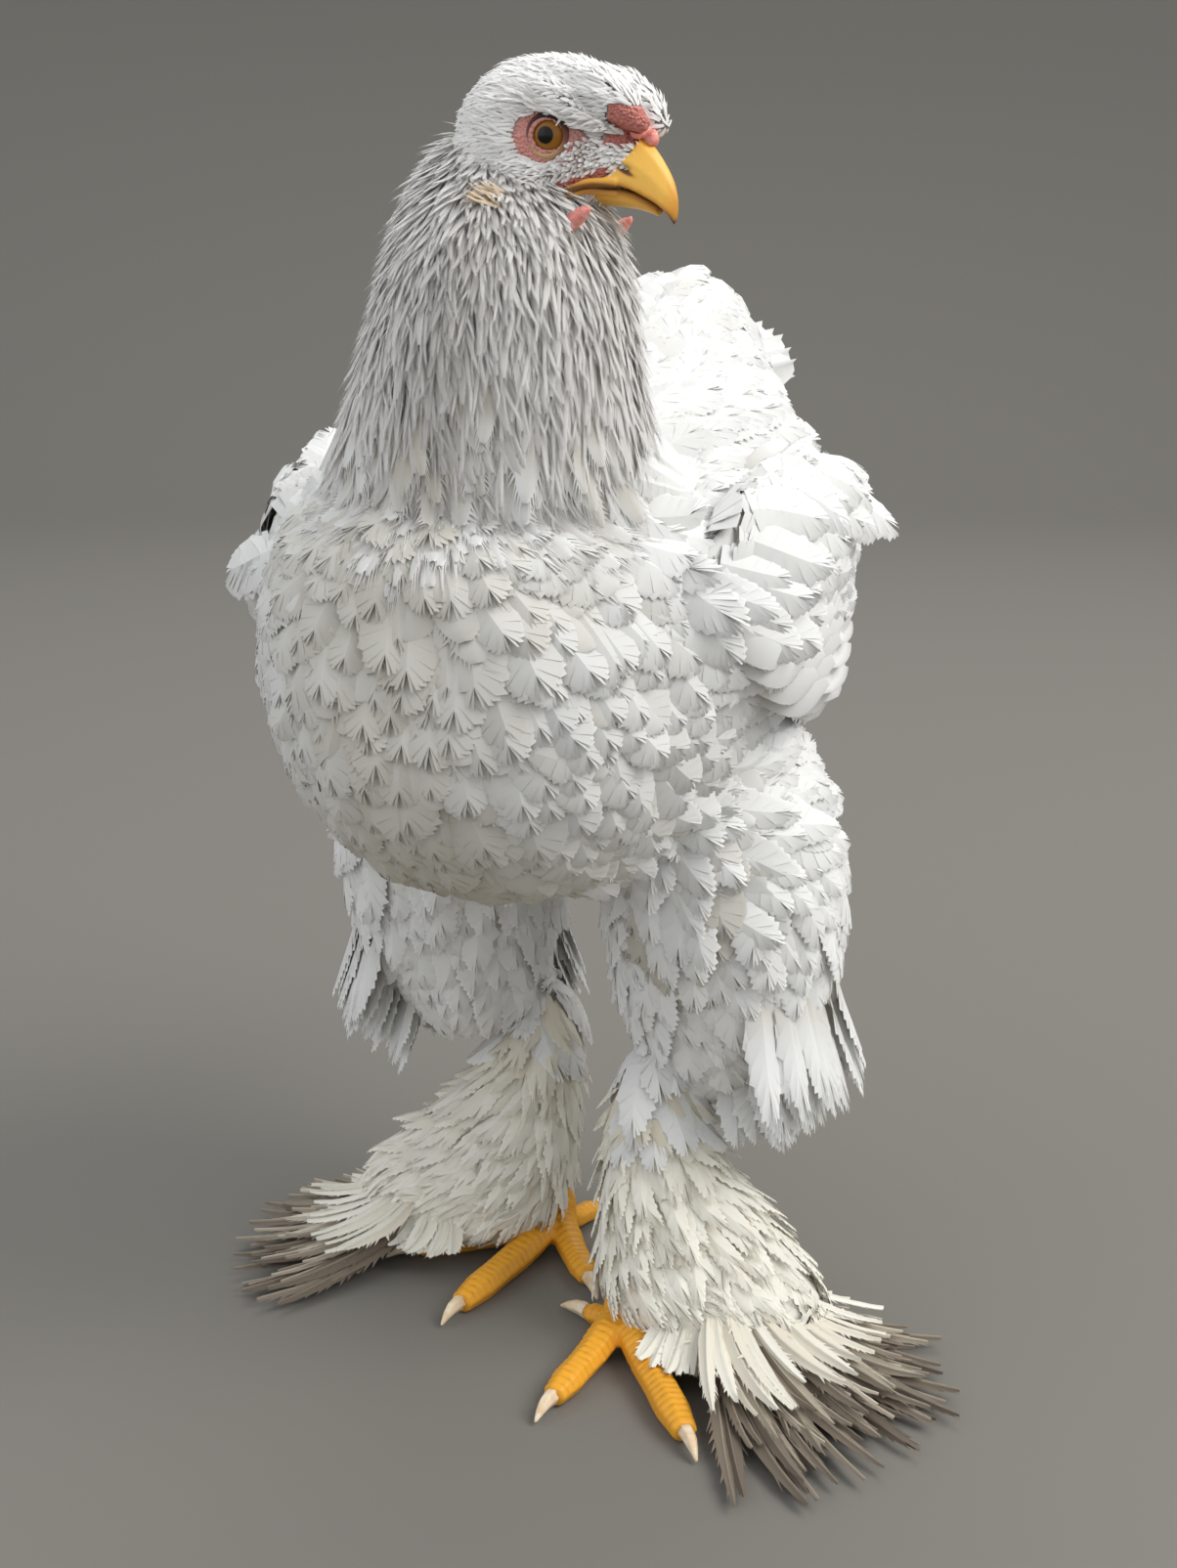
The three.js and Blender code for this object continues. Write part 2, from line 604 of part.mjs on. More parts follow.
  // Foot feathers: long narrow vanes fanned outward over the outer toes
  const fan = [];
  const middle = new THREE.Vector3(leg.shank[0] + sign * 28, leg.shank[1] - 8 - leg.lean, 0);
  for (let row = 0; row < fanRows.length; row++) {
    const { count, from, to, reach, lift, width } = fanRows[row];
    for (let i = 0; i < count; i++) {
      const share = i / (count - 1);
      const heading = THREE.MathUtils.degToRad(from + (to - from) * share + ((i * 7) % 3) - 1);
      const out = new THREE.Vector3(sign * Math.sin(heading), -Math.cos(heading), 0);
      const length = reach * (1.02 - 0.36 * share ** 2 - 0.12 * (i % 2)) * fanLength[side];
      const curl = new THREE.Vector3(-out.y, out.x, 0).multiplyScalar(sign * fanCurl * (0.4 - share));
      const points = Array.from({ length: 5 }, (_, k) => {
        const t = k / 4;
        const p = middle.clone().addScaledVector(out, 30 + length * t).addScaledVector(curl, length * t * t);
        p.z = lift + 13 * (1 - t) ** 2 + ((i % 3) * 0.9 + row * 0.7) * (1 - t) + 1.6 * t;
        return p;
      });
      fan.push(vane(points, points.map(() => new THREE.Vector3(0, 0, 1)), { width, thick: 1.5 }));
    }
  }
  const skirt = levelStack(skirtRows, { sides: 14, between: 1, place: leg.shank, sign, lean: leg.lean });
  let fanSolid = join([skirt, ...fan]).subtract(rooms[side].shank).subtract(footRoom);
  fanSolid = fanSolid.subtract(join(clawRooms));
  addNode("fan_" + side, fanSolid, greyPlumage);
}

// Wings: a pad over the flank with three tiers of vanes lying back along it
for (const [side, sign] of [["left", 1], ["right", -1]]) {
  const at = ([y, z, lift]) => flank(sign, y, z, lift).point.toArray();
  const loose = wingLift[side];
  const pad = limb(
    [[-66, 300, 0], [-40, 302, loose * 0.6], [0, 300, loose], [45, 297, loose], [90, 296, loose * 0.8], [122, 300, 0]].map(at),
    [16, 28, 34, 33, 26, 9],
    [6, 9, 10, 9.5, 8, 4],
    { sides: 12, steps: 6, aside: new THREE.Vector3(0, 0, 1) },
  );
  const vanes = [];
  for (const tier of wingTiers)
    for (let i = 0; i < tier.count; i++) {
      const share = i / (tier.count - 1);
      const y0 = tier.y[0] + (tier.y[1] - tier.y[0]) * share;
      const z0 = tier.z[0] + (tier.z[1] - tier.z[0]) * share;
      const length = tier.length[0] + (tier.length[1] - tier.length[0]) * share;
      const slope = THREE.MathUtils.degToRad(tier.slope[0] + (tier.slope[1] - tier.slope[0]) * share);
      const steps = 3;
      const spots = Array.from({ length: steps + 1 }, (_, k) => {
        const run = (length * k) / steps;
        const lift = loose + tier.lift + (k / steps) * tier.rise + 0.5 * (i % 2) * (1 - k / steps);
        return flank(sign, y0 + run * Math.cos(slope), z0 - run * Math.sin(slope) + 0.0012 * run * run, lift);
      });
      vanes.push(vane(spots.map((s) => s.point), spots.map((s) => s.out), { width: tier.width, thick: 1.9 }));
    }
  const wing = join([pad, ...vanes])
    .subtract(torsoRoom)
    .subtract(neckRoom)
    .subtract(rooms[side].thigh);
  addNode("wing_" + side, wing, plumage);
}

// Tail: main feathers in a low roof-shaped fan with two rows of coverts over them
const tailRoot = new THREE.Vector3(0, 134, 362);
const tailBody = limb(
  [[0, 124, 352], [0, 150, 358], [0, 176, 368]],
  [32, 30, 20],
  [26, 20, 8],
  { sides: 16, steps: 5, aside: new THREE.Vector3(1, 0, 0) },
);
const tailVanes = [];
for (const { count, spread, reach, rise, lift, width, start } of tailRows)
  for (let i = 0; i < count; i++) {
    const share = (2 * i) / (count - 1) - 1;
    const turn = THREE.MathUtils.degToRad(spread * share);
    const out = new THREE.Vector3(Math.sin(turn), Math.cos(turn), 0);
    const roof = new THREE.Vector3(Math.sin(share * 1.0), 0, Math.cos(share * 1.0));
    const points = Array.from({ length: 5 }, (_, k) => {
      const t = k / 4;
      const p = tailRoot.clone().addScaledVector(out, start + reach * t * (1 - 0.12 * share * share));
      p.z += lift + rise * t - 5 * t * t - 15 * share * share + 0.7 * (i % 2);
      return p;
    });
    tailVanes.push(vane(points, points.map(() => roof), { width, thick: 1.8 }));
  }
addNode("tail", join([tailBody, ...tailVanes]).subtract(torsoRoom), plumage);

// The bird stands with the middle of its box over the origin and its toes on the floor
const bounds = new THREE.Box3().setFromObject(group);
const shift = new THREE.Vector3(-(bounds.min.x + bounds.max.x) / 2, -(bounds.min.y + bounds.max.y) / 2, -bounds.min.z);
for (const mesh of group.children) mesh.geometry.translate(shift.x, shift.y, shift.z);

export default group;
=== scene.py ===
"""A young white brahma chicken: skin, plumage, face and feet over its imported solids, and a plain stage."""

import itertools
import math

import bpy
import numpy as np
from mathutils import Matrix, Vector
from mathutils.bvhtree import BVHTree


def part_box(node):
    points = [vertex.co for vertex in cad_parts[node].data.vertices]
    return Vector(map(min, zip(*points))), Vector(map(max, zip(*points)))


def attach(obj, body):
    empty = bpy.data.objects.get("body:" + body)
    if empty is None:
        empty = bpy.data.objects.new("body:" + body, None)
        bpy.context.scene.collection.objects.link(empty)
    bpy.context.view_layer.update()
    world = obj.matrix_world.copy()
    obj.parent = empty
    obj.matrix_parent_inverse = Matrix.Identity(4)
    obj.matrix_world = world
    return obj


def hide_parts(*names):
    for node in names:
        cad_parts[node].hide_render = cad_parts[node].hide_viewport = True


bl_info = {
    "name": "Brahma Chicken",
    "version": (1, 0, 0),
    "blender": (4, 5, 0),
    "location": "View3D > Sidebar > Chicken",
    "description": "Dresses the packed solids of a brahma chicken with skin, feathers and a plain stage",
    "category": "Object",
}

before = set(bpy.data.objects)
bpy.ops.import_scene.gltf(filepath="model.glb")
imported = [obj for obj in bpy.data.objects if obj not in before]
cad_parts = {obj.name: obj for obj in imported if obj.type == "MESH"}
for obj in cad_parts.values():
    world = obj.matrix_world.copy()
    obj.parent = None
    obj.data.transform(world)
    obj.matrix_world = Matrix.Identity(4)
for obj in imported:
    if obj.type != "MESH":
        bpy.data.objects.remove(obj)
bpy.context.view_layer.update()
MM = 0.001
# How near a feather comes to the floor, and the size of its patch on the OFBake map
FLOOR_CLEARANCE = 0.6
BAKE_PATCH = 0.003
NEXT_CELLS = list(itertools.product((-1, 0, 1), repeat=3))

# The same forms as the solids, in millimetres, before they are moved over the origin.
# Each torso row is a place along the body, its low, middle and high levels and half its width.
TORSO = [
    (-130, 270, 281, 291, 7), (-125, 243, 280, 312, 32), (-110, 214, 280, 331, 57), (-84, 193, 281, 343, 76),
    (-45, 181, 281, 349, 86), (0, 174, 278, 355, 88), (45, 168, 276, 370, 84), (85, 167, 280, 389, 74),
    (115, 178, 290, 400, 60), (140, 204, 304, 396, 43), (156, 246, 318, 378, 24), (163, 296, 326, 350, 8),
]
# Each row of neck, thigh and shank is a height, the oval's middle and its two radii.
NECK = [
    (300, 2, -52, 60, 54), (322, 4, -60, 60, 54), (345, 8, -69, 55, 50), (370, 13, -76, 48, 46),
    (395, 17, -80, 43, 42), (413, 17, -79, 38, 36), (426, 13, -75, 31, 27), (437, 8, -70, 20, 19),
    (443, 6, -68, 9, 9),
]
THIGH = [
    (240, -10, -6, 34, 46), (210, -1, -2, 44, 56), (178, 4, 2, 47, 55), (152, 4, 6, 45, 50),
    (130, 3, 9, 41, 43), (112, 0, 10, 34, 35), (100, -4, 9, 25, 26), (92, -7, 8, 13, 14),
]
SHANK = [
    (112, 0, 2, 11, 11), (98, 1, 2, 17, 18), (80, 2, 0, 22, 20), (64, 6, -1, 28, 23), (50, 13, -2, 35, 26),
    (36, 20, -4, 41, 30), (24, 25, -6, 45, 33), (14, 28, -7, 45, 33), (10, 29, -7, 39, 29),
]
LEGS = {
    "left": {"sign": 1, "ankle": (34, -16), "shank": (38, 4), "lean": 2, "thigh": (56, 18)},
    "right": {"sign": -1, "ankle": (-21, 50), "shank": (-33, 62), "lean": 18, "thigh": (-63, 46)},
}
# Where each toe points, in degrees out from straight ahead, and its length
TOES = {
    "left": {"back": (252, 18), "inner": (-5, 58), "middle": (37, 78), "outer": (76, 58)},
    "right": {"back": (195, 26), "inner": (-38, 45), "middle": (8, 75), "outer": (52, 60)},
}
TOE_SCALE = 3.4
LEAN_HEIGHT = 90
TORSO_POWER = 2.15
HEAD_PLACE = np.array([38.0, -74.0, 440.6])
HEAD_TURN = math.radians(-11)
HEAD_PITCH = math.radians(8)
EYE_RADIUS = 8.2
EYE_ASIDE = 10.5
EYE_TURN = math.radians(13)
NECK_CENTRE = np.array([8.0, -68.0])
NECK_REACH = 75
TAIL_ROOT = np.array([0.0, 134.0, 362.0])
HOCK_LOW, HOCK_HIGH = 104, 150
# Side, sign and how far the wing stands off the flank
WINGS = (("left", 1, 4), ("right", -1, 1.5))

# Places in the head's own frame: forward, aside and up from the middle between the eyes
EAR = np.array([-5.1, 32.1, -19.4])
WATTLE = (16.2, 19.2, -22.7)
# Lines of the mouth, as places forward and their levels
UPPER_RUN = [5, 10, 16, 20, 25.5, 30, 34.5, 37.6, 39.6]
UPPER_MOUTH = [-17.4, -14.6, -12.8, -12.6, -13.2, -14.6, -16.4, -18.8, -21.4]
LOWER_RUN = [7, 11, 16, 22, 27, 31, 34]
LOWER_RIM = [-17.4, -15.2, -13.4, -13.2, -14, -15.4, -17]
LOWER_MOUTH = [-17.0, -15.2, -14.2, -13.4, -14.2, -15.6, -17.2]

# Camera, matched to the photograph
CAMERA_PLACE = (294.3, -696.5, 410.0)
CAMERA_YAW = math.radians(22)
CAMERA_PITCH = math.radians(14.6)
CAMERA_LENS = 48.0


# Small helpers

def table(rows, key):
    """The row at a key, read smoothly between the rows."""
    rows = np.asarray(rows, float)
    rising = rows[1, 0] > rows[0, 0]
    last = len(rows) - 1
    i = 0
    while i < last - 1 and (key > rows[i + 1, 0] if rising else key < rows[i + 1, 0]):
        i += 1
    span = rows[i + 1, 0] - rows[i, 0]
    f = (key - rows[i, 0]) / span

    def slope(k):
        before, after = rows[max(k - 1, 0)], rows[min(k + 1, last)]
        return (after - before) / (after[0] - before[0]) * span

    f2, f3 = f * f, f * f * f
    out = ((2 * f3 - 3 * f2 + 1) * rows[i] + (f3 - 2 * f2 + f) * slope(i)
           + (3 * f2 - 2 * f3) * rows[i + 1] + (f3 - f2) * slope(i + 1))
    out[0] = key
    return out


def unit(v):
    """The vectors, each made one long."""
    return v / np.maximum(np.linalg.norm(v, axis=-1, keepdims=True), 1e-9)


def shift():
    """From the design place, in millimetres, to the frame, in metres."""
    low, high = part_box("eye_left")
    middle = (np.array(low) + np.array(high)) / 2
    return middle - in_head(0, EYE_ASIDE, 0) * MM


def head_axes():
    """Forward, left and up of the head, as rows."""
    ct, st, cp, sp = math.cos(HEAD_TURN), math.sin(HEAD_TURN), math.cos(HEAD_PITCH), math.sin(HEAD_PITCH)
    return np.array([[ct * cp, st * cp, -sp], [-st, ct, 0], [ct * sp, st * sp, cp]])


def in_head(forward, left, up):
    """The design point of a place in the head's own frame."""
    return HEAD_PLACE + np.array([forward, left, up]) @ head_axes()


def to_head(points):
    """Design points in the head's own frame: forward, left, up."""
    return (points - HEAD_PLACE) @ head_axes().T


def fill_mesh(mesh, verts, corners, sizes):
    """Gives a new mesh its points, and smooth faces that are runs of corners of those sizes."""
    mesh.vertices.add(len(verts))
    mesh.vertices.foreach_set("co", np.asarray(verts, np.float32).ravel())
    mesh.loops.add(len(corners))
    mesh.loops.foreach_set("vertex_index", np.asarray(corners, np.int32))
    mesh.polygons.add(len(sizes))
    mesh.polygons.foreach_set("loop_start", np.concatenate([[0], np.cumsum(sizes)[:-1]]).astype(np.int32))
    mesh.polygons.foreach_set("use_smooth", np.ones(len(sizes), bool))
    mesh.update(calc_edges=True)


def new_object(name, verts, faces, material):
    """A mesh object from metre points, joined to the scene and riding on the one body."""
    mesh = bpy.data.meshes.new(name)
    fill_mesh(mesh, verts, np.concatenate([np.asarray(f, np.int32) for f in faces]), [len(f) for f in faces])
    mesh.validate()
    obj = bpy.data.objects.new(name, mesh)
    bpy.context.scene.collection.objects.link(obj)
    obj.data.materials.append(material)
    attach(obj, "root")
    return obj


def set_tone(obj, name, values):
    """Gives every point a value that a material reads by that name."""
    layer = obj.data.attributes.new(name, "FLOAT", "POINT")
    layer.data.foreach_set("value", np.asarray(values, np.float32))


def mesh_arrays(mesh):
    """The points of a mesh as an array, and its faces as tuples."""
    verts = np.empty(len(mesh.vertices) * 3, np.float32)
    mesh.vertices.foreach_get("co", verts)
    return verts.reshape(-1, 3).astype(float), [tuple(p.vertices) for p in mesh.polygons]


def remeshed(verts, faces, voxel, smooth=0):
    """One closed surface round overlapping closed forms."""
    mesh = bpy.data.meshes.new("shell")
    mesh.from_pydata([tuple(v) for v in verts], [], [tuple(f) for f in faces])
    obj = bpy.data.objects.new("shell", mesh)
    bpy.context.scene.collection.objects.link(obj)
    change = obj.modifiers.new("shell", "REMESH")
    change.mode = "VOXEL"
    change.voxel_size = voxel
    if smooth:
        soft = obj.modifiers.new("soft", "SMOOTH")
        soft.factor = 0.5
        soft.iterations = smooth
    graph = bpy.context.evaluated_depsgraph_get()
    done = obj.evaluated_get(graph).to_mesh()
    out = mesh_arrays(done)
    bpy.data.objects.remove(obj)
    bpy.data.meshes.remove(mesh)
    return out


def vertex_normals(verts, faces):
    """The way the surface faces at each point."""
    tri = np.array([(f[0], f[k], f[k + 1]) for f in faces for k in range(1, len(f) - 1)])
    n = np.cross(verts[tri[:, 1]] - verts[tri[:, 0]], verts[tri[:, 2]] - verts[tri[:, 0]])
    out = np.zeros_like(verts)
    for c in range(3):
        np.add.at(out, tri[:, c], n)
    return unit(out)


def closed_rings(rings):
    """Points and faces of a closed form through rings of equal length."""
    rings = np.asarray(rings, float)
    count, sides = rings.shape[:2]
    points = np.vstack([rings.reshape(-1, 3), rings[0].mean(0), rings[-1].mean(0)])
    faces = []
    for r in range(count - 1):
        for s in range(sides):
            a, b = r * sides + s, r * sides + (s + 1) % sides
            faces.append((a, b, b + sides, a + sides))
    top = (count - 1) * sides
    for s in range(sides):
        nxt = (s + 1) % sides
        faces.append((nxt, s, len(points) - 2))
        faces.append((top + s, top + nxt, len(points) - 1))
    tri = np.array([(f[0], f[1], f[2]) for f in faces] + [(f[0], f[2], f[3]) for f in faces if len(f) == 4])
    volume = np.einsum("ij,ij->i", points[tri[:, 0]], np.cross(points[tri[:, 1]], points[tri[:, 2]])).sum()
    if volume < 0:
        faces = [tuple(reversed(f)) for f in faces]
    return points, faces


def oval_body(rows, inset, power, sides=36, cuts=40):
    """The long egg form of the torso, set in by that depth."""
    keys = np.linspace(rows[0][0] + inset, rows[-1][0] - inset, cuts)
    rings = []
    for key in keys:
        _, low, mid, high, half = table(rows, key)
        half = max(half - inset, 1.5)
        a = np.linspace(0, 2 * math.pi, sides, endpoint=False)
        c, n = np.cos(a), np.sin(a)
        reach = np.where(n > 0, max(high - mid - inset, 1.5), max(mid - low - inset, 1.5))
        x = np.sign(c) * np.abs(c) ** (2 / power) * half
        z = mid + np.sign(n) * np.abs(n) ** (2 / power) * reach
        rings.append(np.stack([x, np.full(sides, key), z], 1))
    return closed_rings(rings)


def level_stack(rows, inset, place=(0, 0), sign=1, lean=0, sides=30, cuts=26):
    """A neck or limb through level ovals, set in by that depth, that can lean forward near the floor."""
    ends = (rows[0][0], rows[-1][0])
    way = 1 if ends[1] > ends[0] else -1
    keys = np.linspace(ends[0] + way * min(inset, 4), ends[1] - way * min(inset, 4), cuts)
    rings = []
    for key in keys:
        z, x, y, a, b = table(rows, key)
        a, b = max(a - inset, 2), max(b - inset, 2)
        forward = lean * max(0, 1 - z / LEAN_HEIGHT) ** 0.8
        t = np.linspace(0, 2 * math.pi, sides, endpoint=False)
        rings.append(np.stack([place[0] + sign * x + np.cos(t) * a, place[1] + y - forward + np.sin(t) * b,
                               np.full(sides, z)], 1))
    return closed_rings(rings)


def tube(points, wides, deeps, aside, sides=16, cuts=24):
    """A limb of oval rings along a smooth line."""
    points = np.asarray(points, float)
    t = np.linspace(0, len(points) - 1, cuts)
    rows = np.column_stack([np.arange(len(points)), points, wides, deeps])
    read = np.array([table(rows, k) for k in t])
    path, wide, deep = read[:, 1:4], read[:, 4], read[:, 5]
    ahead = unit(np.gradient(path, axis=0))
    across = unit(np.asarray(aside, float) - ahead * (ahead @ np.asarray(aside, float))[:, None])
    up = np.cross(ahead, across)
    a = np.linspace(0, 2 * math.pi, sides, endpoint=False)
    rings = (path[:, None] + across[:, None] * (np.cos(a)[None, :, None] * wide[:, None, None])
             + up[:, None] * (np.sin(a)[None, :, None] * deep[:, None, None]))
    return rings


def flank(sign, y, z, lift):
    """A point over the torso's side, and the way it faces."""
    rows = TORSO
    y0 = min(max(y, rows[1][0]), rows[-2][0])
    _, low, mid, high, half = table(rows, y0)
    reach = high - mid if z > mid else mid - low
    level = min(max((z - mid) / reach, -0.95), 0.95)
    across = (1 - abs(level) ** TORSO_POWER) ** (1 / TORSO_POWER)
    wider, narrower = table(rows, min(y0 + 4, rows[-2][0]))[4], table(rows, max(y0 - 4, rows[1][0]))[4]
    rise = math.copysign(abs(level) ** (TORSO_POWER - 1), level) * half / reach
    out = unit(np.array([sign * across ** (TORSO_POWER - 1), (narrower - wider) / 8, rise]))
    return np.array([sign * half * across, y, z]) + out * lift, out


# Materials

class Value:
    """A socket of a material's nodes, so that sums on it are written as they read."""

    def __init__(self, paint, socket):
        self.paint, self.socket = paint, socket

    def _sum(self, kind, first, second):
        return self.paint.node("ShaderNodeMath", {"operation": kind}, {0: first, 1: second})

    def __add__(self, other):
        return self._sum("ADD", self, other)

    def __sub__(self, other):
        return self._sum("SUBTRACT", self, other)

    def __rsub__(self, other):
        return self._sum("SUBTRACT", other, self)

    def __mul__(self, other):
        return self._sum("MULTIPLY", self, other)

    __radd__ = __add__
    __rmul__ = __mul__


class Paint:
    """One material, and the one way in which its nodes are made."""

    def __init__(self, name, **constants):
        self.material = bpy.data.materials.new(name)
        self.material.use_nodes = True
        self.tree = self.material.node_tree
        self.shader = self.tree.nodes["Principled BSDF"]
        self.shader.inputs["Specular IOR Level"].default_value = 0.3
        for key, value in constants.items():
            self.shader.inputs[key.replace("_", " ")].default_value = value

    def node(self, kind, settings=None, sockets=None, out=0):
        """Adds a node with its settings and sockets, and gives back one of its outputs."""
        node = self.tree.nodes.new(kind)
        for key, value in (settings or {}).items():
            if key == "stops":
                marks = node.color_ramp.elements
                while len(marks) < len(value):
                    marks.new(0.5)
                for mark, (place, colour) in zip(marks, value):
                    mark.position, mark.color = place, (*colour, 1)
            else:
                setattr(node, key, value)
        for key, value in (sockets or {}).items():
            if isinstance(value, Value):
                self.tree.links.new(value.socket, node.inputs[key])
            else:
                node.inputs[key].default_value = value
        return Value(self, node.outputs[out])

    def tone(self):
        """The value that the points of the piece carry."""
        return self.node("ShaderNodeAttribute", {"attribute_name": "tone"}, out="Fac")

    def noise(self, scale, detail=3.0):
        """Soft noise over the piece's own coordinates."""
        place = self.node("ShaderNodeTexCoord", out="Object")
        return self.node("ShaderNodeTexNoise", None, {"Vector": place, "Scale": scale, "Detail": detail})

    def cells(self, scale):
        """How far each place is from the middle of its small cell."""
        place = self.node("ShaderNodeTexCoord", out="Object")
        return self.node("ShaderNodeTexVoronoi", None, {"Vector": place, "Scale": scale}, out="Distance")

    def ramp(self, value, *stops):
        """Turns a value into a colour between stops."""
        return self.node("ShaderNodeValToRGB", {"stops": stops}, {0: value})

    def base(self, value):
        """Sets the base colour."""
        if isinstance(value, Value):
            self.tree.links.new(value.socket, self.shader.inputs["Base Color"])
        else:
            self.shader.inputs["Base Color"].default_value = (*value, 1)
        return self

    def bump(self, height, strength, distance):
        """Raises the surface by a height value."""
        sockets = {"Height": height, "Strength": strength, "Distance": distance}
        normal = self.node("ShaderNodeBump", None, sockets, out="Normal")
        self.tree.links.new(normal.socket, self.shader.inputs["Normal"])
        return self


def darker(colour, share):
    """The colour at that share of its brightness."""
    return tuple(c * share for c in colour)


def materials():
    """Every material of the bird, by name."""
    made = {}
    plumage = bpy.context.scene.chicken_plumage
    face = bpy.context.scene.chicken_face
    feet = bpy.context.scene.chicken_feet
    white, grey, cream, fan = (tuple(c) for c in (plumage.white, plumage.neck, plumage.cream, feet.fan))

    def plume(name, *stops, rough=0.8):
        paint = Paint(name, Roughness=rough, Sheen_Weight=0.1)
        paint.base(paint.ramp(paint.tone(), *stops))
        made[name] = paint.material

    # The low stops give the colour of painted shade at the feathers' roots; the warm low stops of the white
    # plumage also colour the painted shade low on the breast
    plume("white_plumage", (0.0, (0.30, 0.26, 0.18)), (0.45, (0.60, 0.57, 0.49)), (0.8, darker(white, 0.9)),
          (1.0, white))
    plume("neck_plumage", (0.0, (0.30, 0.285, 0.26)), (0.5, (0.61, 0.59, 0.56)), (1.0, grey))
    plume("head_plumage", (0.0, (0.46, 0.43, 0.40)), (0.5, (0.76, 0.74, 0.71)), (1.0, (0.93, 0.92, 0.90)))
    plume("cream_plumage", (0.0, (0.42, 0.35, 0.22)), (0.5, (0.74, 0.68, 0.55)), (1.0, cream))
    plume("ear_plumage", (0.0, (0.30, 0.20, 0.11)), (1.0, (0.72, 0.58, 0.42)))
    plume("fan_plumage", (0.0, darker(fan, 0.3)), (0.45, fan), (0.8, (0.46, 0.40, 0.31)),
          (1.0, (0.78, 0.73, 0.62)), rough=0.6)

    skin = Paint("skin", Roughness=0.7)
    skin.base(skin.ramp(skin.tone(), (0.0, (0.30, 0.27, 0.21)), (1.0, darker(white, 0.92))))
    made["skin"] = skin.material

    red = tuple(face.red)
    bare = Paint("face_skin", Roughness=0.5, Subsurface_Weight=0.1, Subsurface_Scale=0.003)
    bare.base(bare.ramp(bare.tone() + (bare.noise(900.0, 4.0) - 0.5) * 0.5,
                        (0.0, (0.50, 0.46, 0.43)), (0.35, (0.62, 0.44, 0.40)), (0.75, red),
                        (1.0, darker(red, 0.75))))
    bare.bump(bare.cells(1000.0), 1.0, 0.0012)
    made["face_skin"] = bare.material

    comb = Paint("comb_skin", Roughness=0.5, Coat_Weight=0.1, Subsurface_Weight=0.15, Subsurface_Scale=0.002)
    comb.base(comb.ramp(comb.noise(650.0, 5.0), (0.32, darker(red, 0.75)), (0.52, red),
                        (0.62, (0.78, 0.36, 0.29)), (0.74, (0.88, 0.70, 0.62))))
    comb.bump(comb.noise(900.0, 3.0), 0.7, 0.0006)
    made["comb_skin"] = comb.material

    yellow = tuple(face.horn)
    horn = Paint("beak_horn", Roughness=0.38, Coat_Weight=0.12)
    horn.base(horn.ramp(horn.tone(), (0.0, (0.05, 0.028, 0.012)), (0.3, (0.30, 0.13, 0.035)),
                        (0.6, (0.78, 0.36, 0.05)), (1.0, yellow)))
    horn.bump(horn.noise(500.0, 3.0), 0.2, 0.0004)
    made["beak_horn"] = horn.material

    orange = tuple(feet.toes)
    toe = Paint("toe_scales", Roughness=0.45, Coat_Weight=0.08)
    toe.base(toe.ramp(toe.tone() + (toe.noise(300.0, 3.0) - 0.5) * 0.25,
                      (0.0, (0.16, 0.06, 0.01)), (0.45, darker(orange, 0.75)), (1.0, orange)))
    toe.bump(toe.noise(900.0, 3.0), 0.3, 0.0003)
    made["toe_scales"] = toe.material

    claw = Paint("claw_horn", Roughness=0.4, Coat_Weight=0.12)
    claw.base(claw.ramp(claw.noise(250.0, 2.0), (0.3, (0.74, 0.54, 0.32)), (0.7, (0.90, 0.78, 0.60))))
    made["claw_horn"] = claw.material

    iris = tuple(face.iris)
    eye = Paint("eye", Roughness=0.25, Coat_Weight=0.1)
    eye.base(eye.ramp(eye.tone() + (eye.noise(1500.0, 2.0) - 0.5) * 0.04,
                      (0.0, (0.002, 0.002, 0.002)), (0.30, (0.002, 0.002, 0.002)), (0.335, darker(iris, 0.8)),
                      (0.5, iris), (0.60, darker(iris, 0.5)), (0.66, (0.02, 0.012, 0.008)),
                      (1.0, (0.08, 0.04, 0.03))))
    made["eye"] = eye.material

    lid = Paint("lid", Roughness=0.6)
    lid.base(lid.ramp(lid.tone(), (0.0, (0.025, 0.016, 0.013)), (0.5, (0.24, 0.09, 0.07)),
                      (1.0, (0.66, 0.46, 0.24))))
    made["lid"] = lid.material
    return made


# Feathers

def vane_half(along, blunt, waist):
    """Half the width of a vane at a share of its length: narrow at the root and round at the tip."""
    rise = waist + (1 - waist) * min(along / 0.4, 1) ** 0.8
    if along < blunt:
        return rise
    return rise * math.sqrt(max(0.0, 1 - ((along - blunt) / (1.001 - blunt)) ** 2))


def strip_faces(rows, columns):
    """Four-sided faces between rows of points."""
    corners = [r * columns + c for r in range(rows - 1) for c in range(columns - 1)]
    return [(i, i + 1, i + columns + 1, i + columns) for i in corners]


def barb_face(base, side):
    """The three-sided face of a loose barb, turned so that both sides of a feather face up."""
    return (base, base + 1, base + 2) if side > 0 else (base, base + 2, base + 1)


